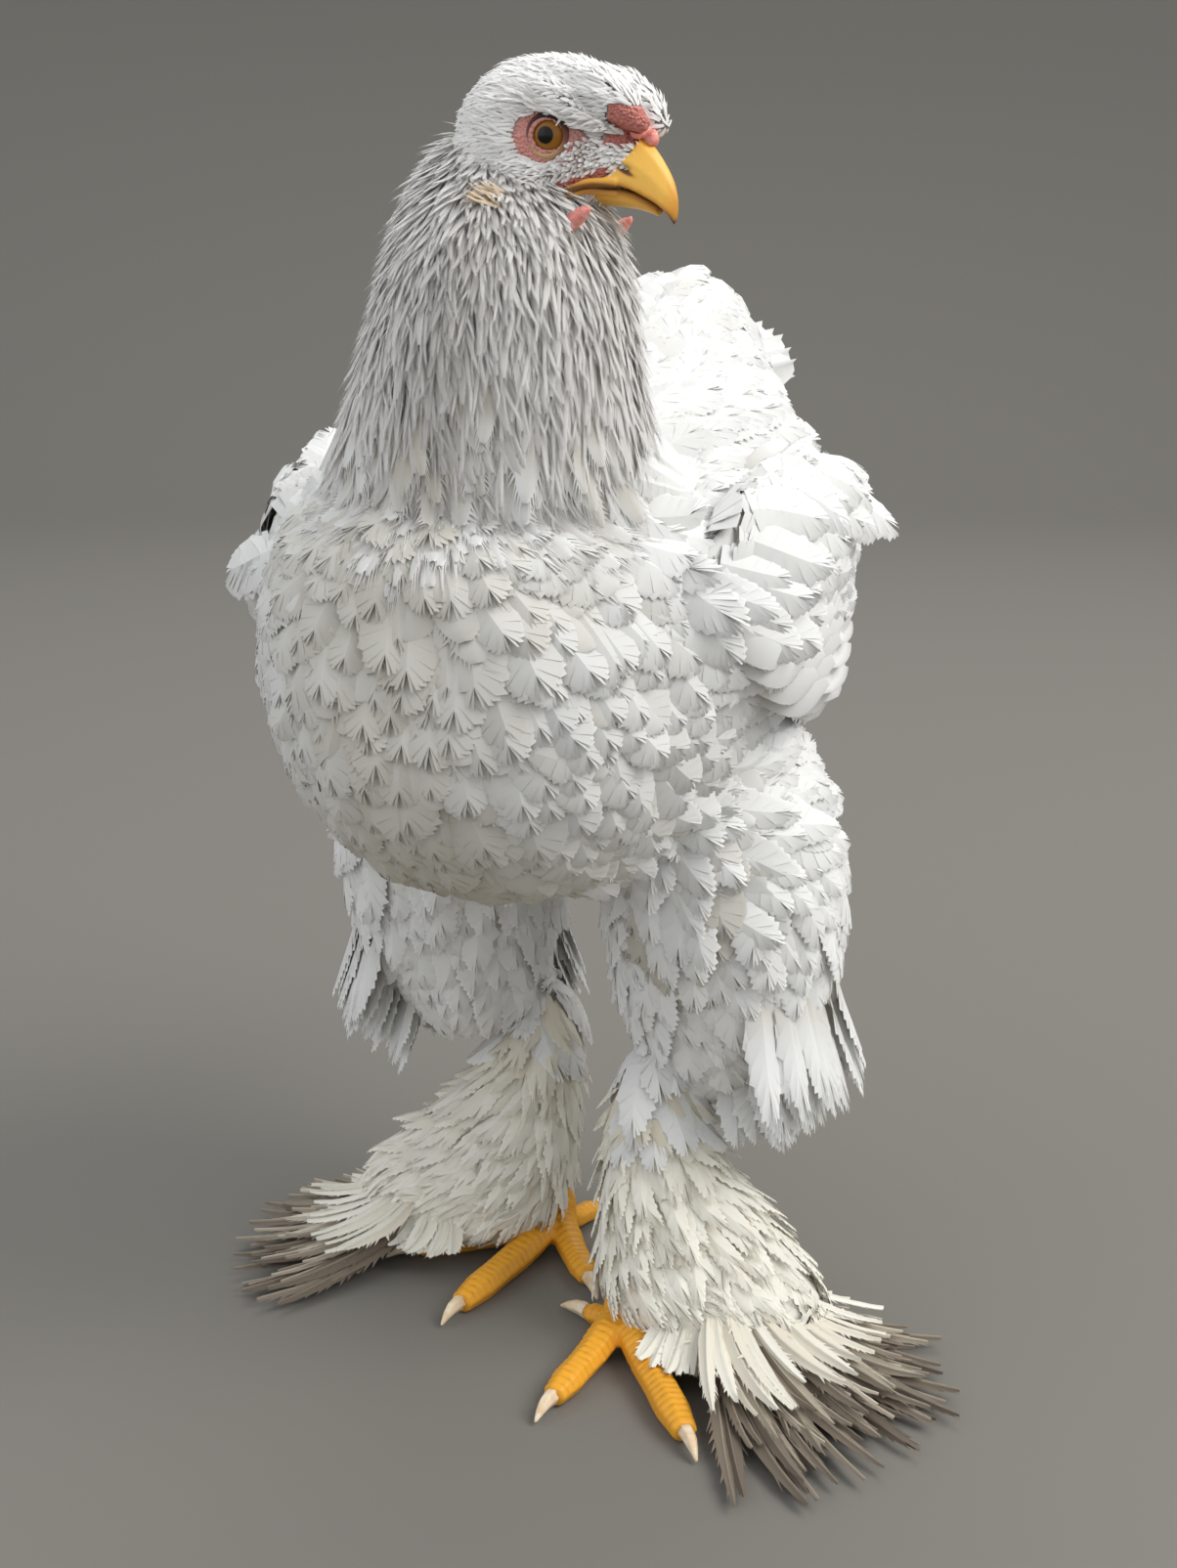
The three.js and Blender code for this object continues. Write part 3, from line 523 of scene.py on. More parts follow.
def feather_form(rows, barbs, blunt=0.5, fringe=0.14, waist=0.35):
    """One feather as (along, across, lift) points, faces, and how near each point is to the edge:
    a rounded vane with fine barbs loose along its sides and round its tip."""
    def rim(t):
        a = 1 - (1 - min(max(t, 0.0), 1.0)) ** 1.6
        return a * (1 - fringe * 0.5), max(vane_half(min(a, 0.985), blunt, waist) * (1 - fringe), 0.02)

    points, edge = [], []
    for t in np.linspace(0, 1, rows):
        a, h = rim(t)
        for b in (-1, 0, 1):
            points.append((a, b * h, 0.0 if b else 0.12))
            edge.append(0.45 if b else 0.0)
    faces = strip_faces(rows, 3)
    gap = 0.86 / barbs
    for side, k in itertools.product((-1, 1), range(barbs)):
        t = 0.14 + gap * (k + 0.5)
        (a0, h0), (a1, h1), (a, h) = rim(t - gap * 0.34), rim(t + gap * 0.34), rim(t)
        faces.append(barb_face(len(points), side))
        points += [(a0, side * h0 * 0.97, 0.0), (a1, side * h1 * 0.97, 0.0),
                   (a + fringe * (0.45 + 0.3 * (1 - h)), side * (h + fringe * 1.1 * h), -0.08)]
        edge += [0.5, 0.5, 1.0]
    return np.array(points), faces, np.array(edge)


def barb_form(barbs, blunt=0.5, waist=0.4, sweep=0.76, notch=0.07):
    """A soft feather made of separate barbs that sweep from its shaft to a rounded rim."""
    points, faces, edge = [], [], []
    for side, k in itertools.product((-1, 1), range(barbs)):
        t = 0.12 + 0.88 * (k + 0.5) / barbs
        tip = 1 - (1 - t) ** 1.5
        root = tip * sweep - 0.02
        wide = 0.52 / barbs * (1.5 * (1 - t) ** 0.5 + 0.3)
        h = vane_half(min(tip, 0.995), blunt, waist)
        base = len(points)
        middle = root * 0.22 + tip * 0.78
        lift = 0.02 * (k % 2)
        points += [(root - wide, 0.0, 0.12), (root + wide, 0.0, 0.12),
                   (middle - wide * 1.2, side * h * (1 - notch), 0.04 + lift),
                   (middle + wide * 1.2, side * h * (1 - notch) * (0.7 + 0.3 * (1 - t)), 0.04 + lift),
                   (tip, side * h, -0.06)]
        tone = 0.45 if k % 2 else 0.2
        edge += [0.0, 0.0, tone, tone, 1.0]
        for face in ((0, 2, 3, 1), (2, 4, 3)):
            face = [base + i for i in face]
            faces.append(tuple(reversed(face)) if side > 0 else tuple(face))
    return np.array(points), faces, np.array(edge)


def blade_form(rows, barbs, full=0.7, point=0.5):
    """A long stiff feather with a raised shaft and close barbs, full up to a share of its length."""
    def half(a):
        rise = 0.25 + 0.75 * min(a / 0.25, 1)
        return rise * (1 if a < full else max(0.03, 1 - ((min(a, 0.995) - full) / (1 - full)) ** 2) ** point)

    # Across the vane: place, lift and edge, where below nought marks the shaft
    across = [(-0.88, 0, 0.6), (-0.10, 0.10, 0.1), (0, 0.34, -1.0), (0.10, 0.10, 0.1), (0.88, 0, 0.6)]
    points, edge = [], []
    for t in np.linspace(0, 1, rows):
        a = (1 - (1 - t) ** 1.3) * 0.98
        h = half(a)
        for b, lift, e in across:
            points.append((a, b * h, lift))
            edge.append(e)
    faces = strip_faces(rows, len(across))
    gap = 0.84 / barbs
    for side, k in itertools.product((-1, 1), range(barbs)):
        a0 = 0.12 + gap * k
        faces.append(barb_face(len(points), side))
        points += [(a0, side * 0.84 * half(a0), 0), (a0 + gap * 0.8, side * 0.84 * half(a0 + gap * 0.8), 0),
                   (a0 + gap * 1.5, side * 1.05 * half(a0 + gap), -0.08)]
        edge += [0.6, 0.6, 1.0]
    return np.array(points), faces, np.array(edge)


def hair_form(rows=3):
    """A short bristle of few faces."""
    points, edge = [], []
    for r in range(rows):
        a = r / rows
        h = (0.75 + 0.5 * a) if a < 0.4 else 1.0 - 0.6 * (a - 0.4)
        points += [(a, -h, 0.0), (a, 0, 0.3), (a, h, 0.0)]
        edge += [a, a * 0.6, a]
    base, tip = (rows - 1) * 3, len(points)
    points.append((1.0, 0, 0))
    edge.append(1.0)
    faces = strip_faces(rows, 3) + [(base, base + 1, tip), (base + 1, base + 2, tip)]
    return np.array(points), faces, np.array(edge)


class Ground:
    """A surface that feathers are rooted on and lie along, in design millimetres."""

    def __init__(self, verts, faces):
        self.verts, self.faces = verts, faces
        self.tree = BVHTree.FromPolygons([tuple(v) for v in verts], faces)

    def near(self, points):
        """The nearest places on the surface to the points, and how it faces there."""
        out, normals = np.empty_like(points), np.empty_like(points)
        for i, p in enumerate(points):
            hit = self.tree.find_nearest(Vector(p))
            out[i], normals[i] = hit[0], hit[1]
        return out, normals

    def scatter(self, rng, spacing, keep):
        """Points spread evenly over the faces that keep() takes, at least a spacing apart."""
        tri = np.array([(f[0], f[k], f[k + 1]) for f in self.faces for k in range(1, len(f) - 1)])
        a, b, c = self.verts[tri[:, 0]], self.verts[tri[:, 1]], self.verts[tri[:, 2]]
        cross = np.cross(b - a, c - a)
        area = np.linalg.norm(cross, axis=1) / 2
        middle = (a + b + c) / 3
        area = area * keep(middle, unit(cross))
        total = area.sum()
        wish = int(total / (spacing * spacing) * 3.2) + 1
        pick = rng.choice(len(tri), wish, p=area / total)
        r1, r2 = np.sqrt(rng.random(wish))[:, None], rng.random(wish)[:, None]
        points = (1 - r1) * a[pick] + (r1 * (1 - r2)) * b[pick] + (r1 * r2) * c[pick]
        cells, kept = {}, []
        closest = spacing * spacing * 0.62
        for i, p in enumerate(points):
            x, y, z = (p // spacing).astype(int)
            taken = (j for dx, dy, dz in NEXT_CELLS for j in cells.get((x + dx, y + dy, z + dz), ()))
            if all((points[j] - p) @ (points[j] - p) >= closest for j in taken):
                cells.setdefault((x, y, z), []).append(i)
                kept.append(i)
        return points[kept]


def lay(ground, roots, flow, length, low, high, steps=5, follow=0.5, lift_power=1.3):
    """Lines that run from the roots along the surface, rising from it towards their tips."""
    points, normals = ground.near(roots)
    count = len(points)
    length = np.broadcast_to(np.asarray(length, float), (count,))
    way = flow(points, normals)
    way = unit(way - normals * (way * normals).sum(1, keepdims=True))
    spine, faces = [], []
    for k in range(steps + 1):
        t = k / steps
        rise = low + (high - low) * t ** lift_power
        rise = np.broadcast_to(np.asarray(rise, float), (count,))
        spine.append(points + normals * rise[:, None])
        faces.append(normals.copy())
        if k < steps:
            ahead = points + way * (length / steps)[:, None]
            points, fresh = ground.near(ahead)
            drift = np.linalg.norm(points - ahead, axis=1)
            off = drift > 6
            points[off] = ahead[off]
            fresh[off] = normals[off]
            normals = unit(fresh + normals * 0.6)
            wish = flow(points, normals)
            way = way * (1 - follow) + unit(wish) * follow
            way = unit(way - normals * (way * normals).sum(1, keepdims=True))
    return np.array(spine), np.array(faces)


def dress(name, spine, normals, form, width, material, rng, place, tone, cup=0.15, ragged=0.12,
          slot="plumage", shade=(0.35, 1.0), twist=0.12, edge_tone=0.05, shaft=0.0):
    """One mesh of many feathers, each a copy of the form bent along its own line."""
    points, faces, edge = form
    steps, count = spine.shape[0] - 1, spine.shape[1]
    width = np.broadcast_to(np.asarray(width, float), (count,))
    ahead = unit(np.gradient(spine, axis=0))
    side = unit(np.cross(ahead, normals))
    up = np.cross(side, ahead)
    angle = rng.normal(0, twist, count)[None, :, None]
    side, up = side * np.cos(angle) + up * np.sin(angle), up * np.cos(angle) - side * np.sin(angle)
    at = np.clip(points[:, 0], 0, 1.05) * steps
    i = np.minimum(at.astype(int), steps - 1)
    f = (at - i)[:, None, None]

    def read(rows):
        return rows[i] * (1 - f) + rows[i + 1] * f

    centre, across, out = read(spine), unit(read(side)), unit(read(up))
    jitter = 1 + rng.normal(0, ragged, (len(points), count)) * (edge > 0.8)[:, None]
    b = points[:, 1][:, None] * jitter
    half = (width / 2)[None, :]
    verts = (centre + across * (b * half)[:, :, None]
             + out * ((points[:, 2][:, None] - cup * b * b) * half)[:, :, None])
    slide = rng.normal(0, ragged * 0.5, (len(points), count)) * (edge > 0.8)[:, None]
    reach = np.linalg.norm(spine[-1] - spine[0], axis=1)
    forward = unit(read(ahead))
    verts = verts + forward * (slide * (reach * 0.15)[None, :])[:, :, None]
    verts = verts.transpose(1, 0, 2).reshape(-1, 3)
    clearance = FLOOR_CLEARANCE + 0.15 * np.abs(points[:, 1])[None, :].repeat(count, 0).ravel()
    verts[:, 2] = np.maximum(verts[:, 2], clearance)
    offsets = (np.arange(count) * len(points))[:, None, None]
    blocks = []
    for corners in (4, 3):
        some = np.array([face for face in faces if len(face) == corners], int).reshape(-1, corners)
        blocks.append((some[None] + offsets).reshape(-1, corners))
    loops = np.concatenate([block.ravel() for block in blocks])
    mesh = bpy.data.meshes.new(name)
    fill_mesh(mesh, verts * MM + place, loops, np.concatenate([np.full(len(b), b.shape[1]) for b in blocks]))
    obj = bpy.data.objects.new(name, mesh)
    bpy.context.scene.collection.objects.link(obj)
    mesh.materials.append(material)
    # Tone: painted shade at the root, where the neighbouring feathers cover it, darker along the edge, and
    # each feather a little different
    along = np.clip(points[:, 0], 0, 1)
    root_shade = shade[0] + (shade[1] - shade[0]) * np.minimum(along / 0.6, 1) ** 0.8
    own = np.broadcast_to(np.asarray(tone, float), (count,))
    values = root_shade[None, :] * own[:, None]
    values = values - edge_tone * (edge > 0.3)[None, :] * (edge < 0.8)[None, :]
    values = values + shaft * (np.abs(points[:, 1]) < 0.02)[None, :]
    values = np.where((edge < -0.5)[None, :], np.minimum(values + 0.3, 1.0), values)
    set_tone(obj, "tone", np.clip(values, 0, 1).ravel())
    # Each feather has a small patch of its own at its root's place on the unwrapped skin
    root = spine[0]
    turn = np.arctan2(root[:, 0] - root[:, 0].mean(), -(root[:, 1] - root[:, 1].mean())) / (2 * math.pi) + 0.5
    rise = (root[:, 2] - root[:, 2].min()) / max(float(np.ptp(root[:, 2])), 1e-3)
    u = (0.01 + 0.97 * turn)[:, None] + BAKE_PATCH * (points[:, 1][None, :] * 0.5)
    v = (0.01 + 0.97 * rise)[:, None] + BAKE_PATCH * np.clip(points[:, 0], 0, 1)[None, :]
    uv = np.stack([np.clip(u, 0, 1), np.clip(v, 0, 1)], 2).reshape(-1, 2)
    layer = mesh.uv_layers.new(name="OFBake")
    layer.data.foreach_set("uv", uv[loops].astype(np.float32).ravel())
    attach(obj, "root")
    return obj


# Pieces

def build_ground():
    """The surface inside the plumage, in design millimetres, with wing pads and the root of the tail."""
    parts = [oval_body(TORSO, 7, TORSO_POWER), level_stack(NECK, 5)]
    for leg in LEGS.values():
        parts.append(level_stack(THIGH, 8, leg["thigh"], leg["sign"]))
        parts.append(level_stack(SHANK, 7, leg["shank"], leg["sign"], leg["lean"]))
    for _, sign, loose in WINGS:
        places = [(-66, 300, -2), (-40, 302, loose * 0.6), (0, 300, loose), (45, 297, loose),
                  (90, 296, loose * 0.8), (122, 300, -2)]
        line = [flank(sign, y, z, lift)[0] for y, z, lift in places]
        parts.append(closed_rings(tube(line, [12, 25, 31, 30, 23, 7], [3, 6, 7, 6.5, 5, 2], (0, 0, 1))))
    tail_root = tube([(0, 120, 350), (0, 150, 357), (0, 174, 366)], [28, 26, 16], [22, 16, 5], (1, 0, 0))
    parts.append(closed_rings(tail_root))
    verts, faces, base = [], [], 0
    for points, some in parts:
        verts.append(points)
        faces += [tuple(i + base for i in f) for f in some]
        base += len(points)
    return remeshed(np.vstack(verts), faces, 3.2, 4)


class World:
    """What the pieces share while the scene is built."""
    made = {}


def ground():
    """The body's surface, made on first use together with the head's, the materials and the shift."""
    if "ground" not in World.made:
        World.made["ground"] = Ground(*build_ground())
        World.made["head"] = Ground(*remeshed(*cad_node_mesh("head"), 0.8, 3))
        World.made["paints"] = materials()
        World.made["shift"] = shift()
    return World.made["ground"]


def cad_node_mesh(name):
    """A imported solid's points in design millimetres, and its faces."""
    verts, faces = mesh_arrays(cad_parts[name].data)
    return (verts - shift()) / MM, faces


def gauss(x, middle, wide):
    """A bell curve, one at the middle."""
    return np.exp(-((x - middle) / wide) ** 2)


def step(x, low, high):
    """A smooth rise from nought at the low end to one at the high end."""
    t = np.clip((x - low) / (high - low), 0, 1)
    return t * t * (3 - 2 * t)


def round_neck(p):
    """Points near enough to the neck's middle, seen from above."""
    return np.hypot(p[:, 0] - NECK_CENTRE[0], p[:, 1] - NECK_CENTRE[1]) < NECK_REACH


def neck_share(p):
    """How far a point belongs to the neck's cape of hackles."""
    return step(p[:, 2], 330, 350) * round_neck(p)


def body_flow(p, n):
    """The way the plumage lies at a point: back along the body, down the neck, thighs and shanks."""
    way = np.tile([0.0, 1.0, -0.35], (len(p), 1))
    breast = step(-p[:, 1], 40, 110) * (p[:, 2] < 345)
    way += breast[:, None] * np.array([0, -0.3, -0.5])
    neck = step(p[:, 2], 318, 352) * step(-p[:, 1], 5, 35)
    outward = unit(np.column_stack([p[:, :2] - NECK_CENTRE, np.zeros(len(p))]))
    way = way * (1 - neck[:, None]) + (np.array([0, 0.1, -1.0]) + outward * 0.18) * neck[:, None]
    low = step(-p[:, 2], -205, -165) * (np.abs(p[:, 0]) > 8)
    sign = np.sign(p[:, 0])
    thigh = np.column_stack([sign * 0.12, np.full(len(p), 0.22), np.full(len(p), -1.0)])
    way = way * (1 - low[:, None]) + thigh * low[:, None]
    foot = step(-p[:, 2], -92, -40)
    flare = step(-p[:, 2], -45, -15)
    bell = np.column_stack([sign * (0.6 + 0.5 * flare), np.full(len(p), -0.15), -0.85 + 0.25 * flare])
    way = way * (1 - foot[:, None]) + bell * foot[:, None]
    tail = step(p[:, 1], 120, 150) * step(p[:, 2], 335, 350)
    way = way * (1 - tail[:, None]) + np.array([0, 1.0, 0.12]) * tail[:, None]
    return way


def on_wing(p, grow=0):
    """Points over the wing pads."""
    return ((np.abs(p[:, 0]) > 30) & (p[:, 1] > -46 - grow) & (p[:, 1] < 122 + grow)
            & (p[:, 2] > 268 - grow) & (p[:, 2] < 328 + grow))


def wattle_place(sign):
    """Where the wattle of that side lies on the throat, and the way the throat faces there."""
    forward, aside, up = WATTLE
    points, normals = ground().near(in_head(forward, sign * aside, up)[None])
    return points[0], normals[0]


def gape_share(local):
    """The red line that runs from the corner of the mouth along the root of the beak."""
    line = -16.2 + 0.48 * (local[:, 0] - 2.4)
    return np.exp(-((local[:, 2] - line) / 1.8) ** 4) * (local[:, 0] > -1) * (local[:, 0] < 20)


def comb_share(local):
    """The bare patch of the comb on the forehead, which leans to the bird's right."""
    rear = 19.0 + 0.22 * (local[:, 2] - 9)
    return (step(local[:, 0] - rear, -1, 1) * step(local[:, 2], -2, 0) * step(-local[:, 2], -12.2, -10.8)
            * step(-local[:, 1], -3, -1))


def make_skin():
    """The skin under the plumage, and the face with its bare red patches."""
    base = ground()
    place = World.made["shift"]
    paints = World.made["paints"]
    skin = new_object("skin", base.verts * MM + place, base.faces, paints["skin"])
    set_tone(skin, "tone", 0.45 + 0.5 * step(base.verts[:, 2], 170, 260) * (neck_share(base.verts) < 0.3))
    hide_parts("torso", "neck", "thigh_left", "thigh_right", "shank_left", "shank_right")
    World.made["skin"] = skin
    head = World.made["head"]
    local = to_head(head.verts)
    eye = np.hypot(local[:, 0] - 1, local[:, 2] + 1.5)
    ring = np.exp(-(np.maximum(eye - 8.0, 0) / (2.4 + 1.6 * (local[:, 0] < 0))) ** 2)
    corner = np.exp(-(((local[:, 0] - 11) / 5) ** 2 + ((local[:, 2] - 0.5) / 3) ** 2))
    lore = gauss(local[:, 0], 15, 6) * gauss(local[:, 2], -7, 6)
    cheek, face_side = np.abs(local[:, 1]) > 2, np.abs(local[:, 1]) > 4
    red = np.maximum.reduce([ring * 0.62 * face_side, corner * 0.62 * face_side, lore * 0.45 * cheek,
                             gape_share(local) * cheek, comb_share(local)])
    verts = head.verts.copy()
    normals = vertex_normals(verts, head.faces)
    verts -= normals * (0.5 * (1 - np.clip(red * 1.6, 0, 1)))[:, None]
    face = new_object("face", verts * MM + place, head.faces, paints["face_skin"])
    set_tone(face, "tone", red)
    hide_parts("head")


def coat(name, keep, spacing, length, width, low, high, form, paint, tone, flow=body_flow, **more):
    """Scatters feathers over part of the ground and dresses them. Spacing, length, width and the lift of root
    and tip, low and high, are in millimetres."""
    base = more.pop("base", None) or ground()
    plumage = bpy.context.scene.chicken_plumage
    # The draws of a piece follow from the seed, its name and how much is shared so far
    rng = np.random.default_rng(plumage.seed + len(name) * 7 + len(World.made))
    roots = base.scatter(rng, spacing, keep)
    count = len(roots)
    size = (1 + rng.normal(0, 0.12, count).clip(-0.3, 0.3)) * plumage.feather_size
    span = length(roots) if callable(length) else np.full(count, float(length))
    wide = width(roots) if callable(width) else np.full(count, float(width))
    spread = more.pop("spread", 0.10)
    top = high * (1 + rng.normal(0, 0.22, count))
    off = rng.normal(0, spread, (count, 1))

    def wander(p, n):
        way = flow(p, n)
        return way + np.cross(n, way) * off

    spine, normals = lay(base, roots, wander, span * size, low, top, steps=more.pop("steps", 5),
                         lift_power=more.pop("lift_power", 1.3))
    shade = tone(roots) if callable(tone) else np.full(count, float(tone))
    shade = shade * (1 + rng.normal(0, 0.05, count))
    obj = dress(name, spine, normals, form, wide * size, World.made["paints"][paint], rng,
                World.made["shift"], shade, **more)
    World.made.setdefault("coats", []).append(obj)
    return obj


def make_body_coat():
    """Down and rounded feathers over breast, shoulders, back and rump."""
    vane = barb_form(11)
    down = feather_form(7, 12, blunt=0.5, fringe=0.2)
    white = "white_plumage"

    def within(values, low, high):
        return (values > low) * (values < high)

    def torso_part(p, n):
        body = (p[:, 2] > 205) | ((p[:, 2] > 150) & (np.abs(p[:, 0]) < 70))
        return body & ~on_wing(p) & (neck_share(p) < 0.5)

    def breast(p, n):
        return torso_part(p, n) * (p[:, 1] < -20)

    def back(p, n):
        return torso_part(p, n) * (p[:, 1] >= -20)

    def shoulder(p, n):
        return (np.abs(p[:, 0]) > 44) * within(p[:, 1], -84, -30) * within(p[:, 2], 272, 345)

    def scapular(p, n):
        return within(np.abs(p[:, 0]), 26, 72) * within(p[:, 1], -58, 84) * within(p[:, 2], 318, 356)

    def wing_root(p, n):
        front = within(p[:, 1], -82, -44) & (p[:, 2] > 284)
        top = within(p[:, 1], -50, 66) & (p[:, 2] > 325)
        return (front | top) * (np.abs(p[:, 0]) > 30) * (p[:, 2] < 348)

    def rump(p, n):
        return (p[:, 1] > 100) * (p[:, 2] > 296) * 1.0

    def over_wing(p, n):
        return np.column_stack([np.sign(p[:, 0]) * 0.3, np.ones(len(p)), np.full(len(p), -0.45)])

    def tone(p):
        # Painted shade: darker low on the belly and in the middle of the breast
        belly = step(-p[:, 2], -262, -165)
        crop_shade = gauss(p[:, 0] + 4, 0, 34) * step(-p[:, 1], 60, 100)
        return 0.80 - 0.30 * belly - 0.22 * crop_shade

    def down_tone(p):
        return tone(p) * 0.97

    soft = {"shade": (0.6, 1.0)}
    low = {"cup": 0.22, "spread": 0.14, "shade": (0.75, 1.0), "ragged": 0.07}
    over = {"cup": 0.2, "spread": 0.14, "shade": (0.8, 1.0), "ragged": 0.07}
    coat("breast_down", breast, 8.6, 27, 22, 0.2, 4.2, down, white, down_tone, **soft)
    coat("breast_feathers", breast, 6.8, 27, 21, 1.0, 5.6, vane, white, tone, **low)
    coat("shoulder_feathers", shoulder, 6.2, 31, 20, 1.5, 8.5, vane, white, 0.94, **over)
    coat("scapular_feathers", scapular, 6.4, 31, 20, 1.5, 6.0, vane, white, 0.95, flow=over_wing,
         **{**over, "spread": 0.16})
    coat("wing_root_feathers", wing_root, 6.0, 35, 20, 2.5, 13.5, vane, white, 0.95, flow=over_wing, **over)
    coat("back_down", back, 9.2, 29, 23, 0.2, 4.2, down, white, down_tone, **soft)
    coat("rump_feathers", rump, 6.6, 38, 22, 1.5, 7.0, vane, white, 0.86, **{**over, "cup": 0.28})
    coat("back_feathers", back, 7.4, 30, 22, 0.8, 4.0, vane, white, 0.84, **{**low, "cup": 0.3})


def make_neck_coat():
    """Layers of hackles from the head down to the breast, clear of the wattles."""
    hackle = feather_form(8, 9, blunt=0.3, fringe=0.32, waist=0.5)
    fine = feather_form(6, 6, blunt=0.25, fringe=0.4, waist=0.55)
    wattles = [wattle_place(sign)[0] + np.array([0, 0, 2.0]) for sign in (1, -1)]

    def neck(p, n):
        clear = np.all([np.linalg.norm(p - spot, axis=1) > 5 for spot in wattles], axis=0)
        return clear * step(p[:, 2], 322, 326) * round_neck(p) * (p[:, 2] < 442)

    def upper(p, n):
        return neck(p, n) * (p[:, 2] > 380)

    def lower(p, n):
        return neck(p, n) * (1 - step(p[:, 2], 332, 372))

    def length(p):
        return 30 - 17 * step(p[:, 2], 360, 425)

    def short(p):
        return length(p) * 0.8

    def width(p):
        return 6.2 - 3.4 * step(p[:, 2], 345, 415)

    def tone(share):
        def read(p):
            # Painted shade in the cleft down the front of the neck's base and on the bird's left side; the
            # hackles greyer higher up
            across = gauss(p[:, 0] - 2 - 0.25 * (p[:, 2] - 340), 0, 11)
            furrow_shade = across * step(-p[:, 1], 95, 112) * step(p[:, 2], 322, 350)
            grey = (1 - 0.10 * step(p[:, 2], 360, 420)) * (1 - 0.12 * step(p[:, 0], 20, 50))
            return (0.86 - 0.34 * furrow_shade) * grey * share
        return read

    more = {"spread": 0.2, "shaft": -0.14, "edge_tone": 0.0}
    coat("hackle_under", neck, 4.8, length, width, 0.2, 3.2, hackle, "neck_plumage", tone(0.8), **more)
    coat("hackles", neck, 3.9, length, width, 0.8, 5.0, hackle, "neck_plumage", tone(1), **more)
    coat("hackles_fine", neck, 2.9, short, 1.9, 1.6, 5.6, fine, "neck_plumage", tone(1.1), **more)
    coat("hackles_low", lower, 5.4, 26, 12, 1.4, 6.0, hackle, "white_plumage", tone(1.02), **more)
    coat("hackles_upper", upper, 2.2, 11, 1.7, 1.0, 3.8, fine, "neck_plumage", tone(1.06), **more)


def make_leg_coat():
    """Loose feathers over thighs and shanks, longest at the hem over the toes."""
    soft = feather_form(7, 12, blunt=0.4, fringe=0.28, waist=0.4)
    loose = barb_form(10, blunt=0.35, waist=0.35, notch=0.12)
    wisp = barb_form(9, blunt=0.3, waist=0.45, sweep=0.7, notch=0.14)
    white, cream = "white_plumage", "cream_plumage"

    def thigh(p, n):
        aside = np.abs(p[:, 0])
        return (p[:, 2] <= 235) * (p[:, 2] > 96) * (aside > 8) * (aside + (235 - p[:, 2]) * 0.8 > 62)

    def shank(p, n):
        return (p[:, 2] <= 108) * 1.0

    def hem(p, n):
        return (p[:, 2] <= 34) * (n[:, 2] > -0.8) * 1.0

    def thigh_tone(p):
        # Painted shade on the inner side, between the legs; a little darker towards the hock
        inner = step(-np.abs(p[:, 0]), -40, -12)
        return 1.0 - 0.26 * inner - 0.06 * step(-p[:, 2], -150, -95)

    def thigh_down_tone(p):
        return thigh_tone(p) * 0.96

    def shank_tone(p):
        # Painted shade high on the shank, under the thigh
        return 0.95 - 0.30 * step(p[:, 2], 70, 108)

    def shank_down_tone(p):
        return shank_tone(p) * 0.96

    more = {"spread": 0.2, "shade": (0.75, 1.0), "ragged": 0.09}
    coat("thigh_down", thigh, 7.4, 31, 18, 0.5, 5.5, soft, white, thigh_down_tone, **more)
    coat("thigh_feathers", thigh, 6.2, 31, 16, 1.5, 8.5, loose, white, thigh_tone, **more)
    coat("shank_down", shank, 5.4, 28, 11, 0.5, 5, soft, cream, shank_down_tone, **more)
    coat("shank_feathers", shank, 4.4, 29, 9, 1.0, 8, wisp, cream, shank_tone, **more)
    coat("shank_hem", hem, 4.0, 24, 7, 1.0, 7, wisp, cream, 0.97, spread=0.3, shade=(0.8, 1.0))


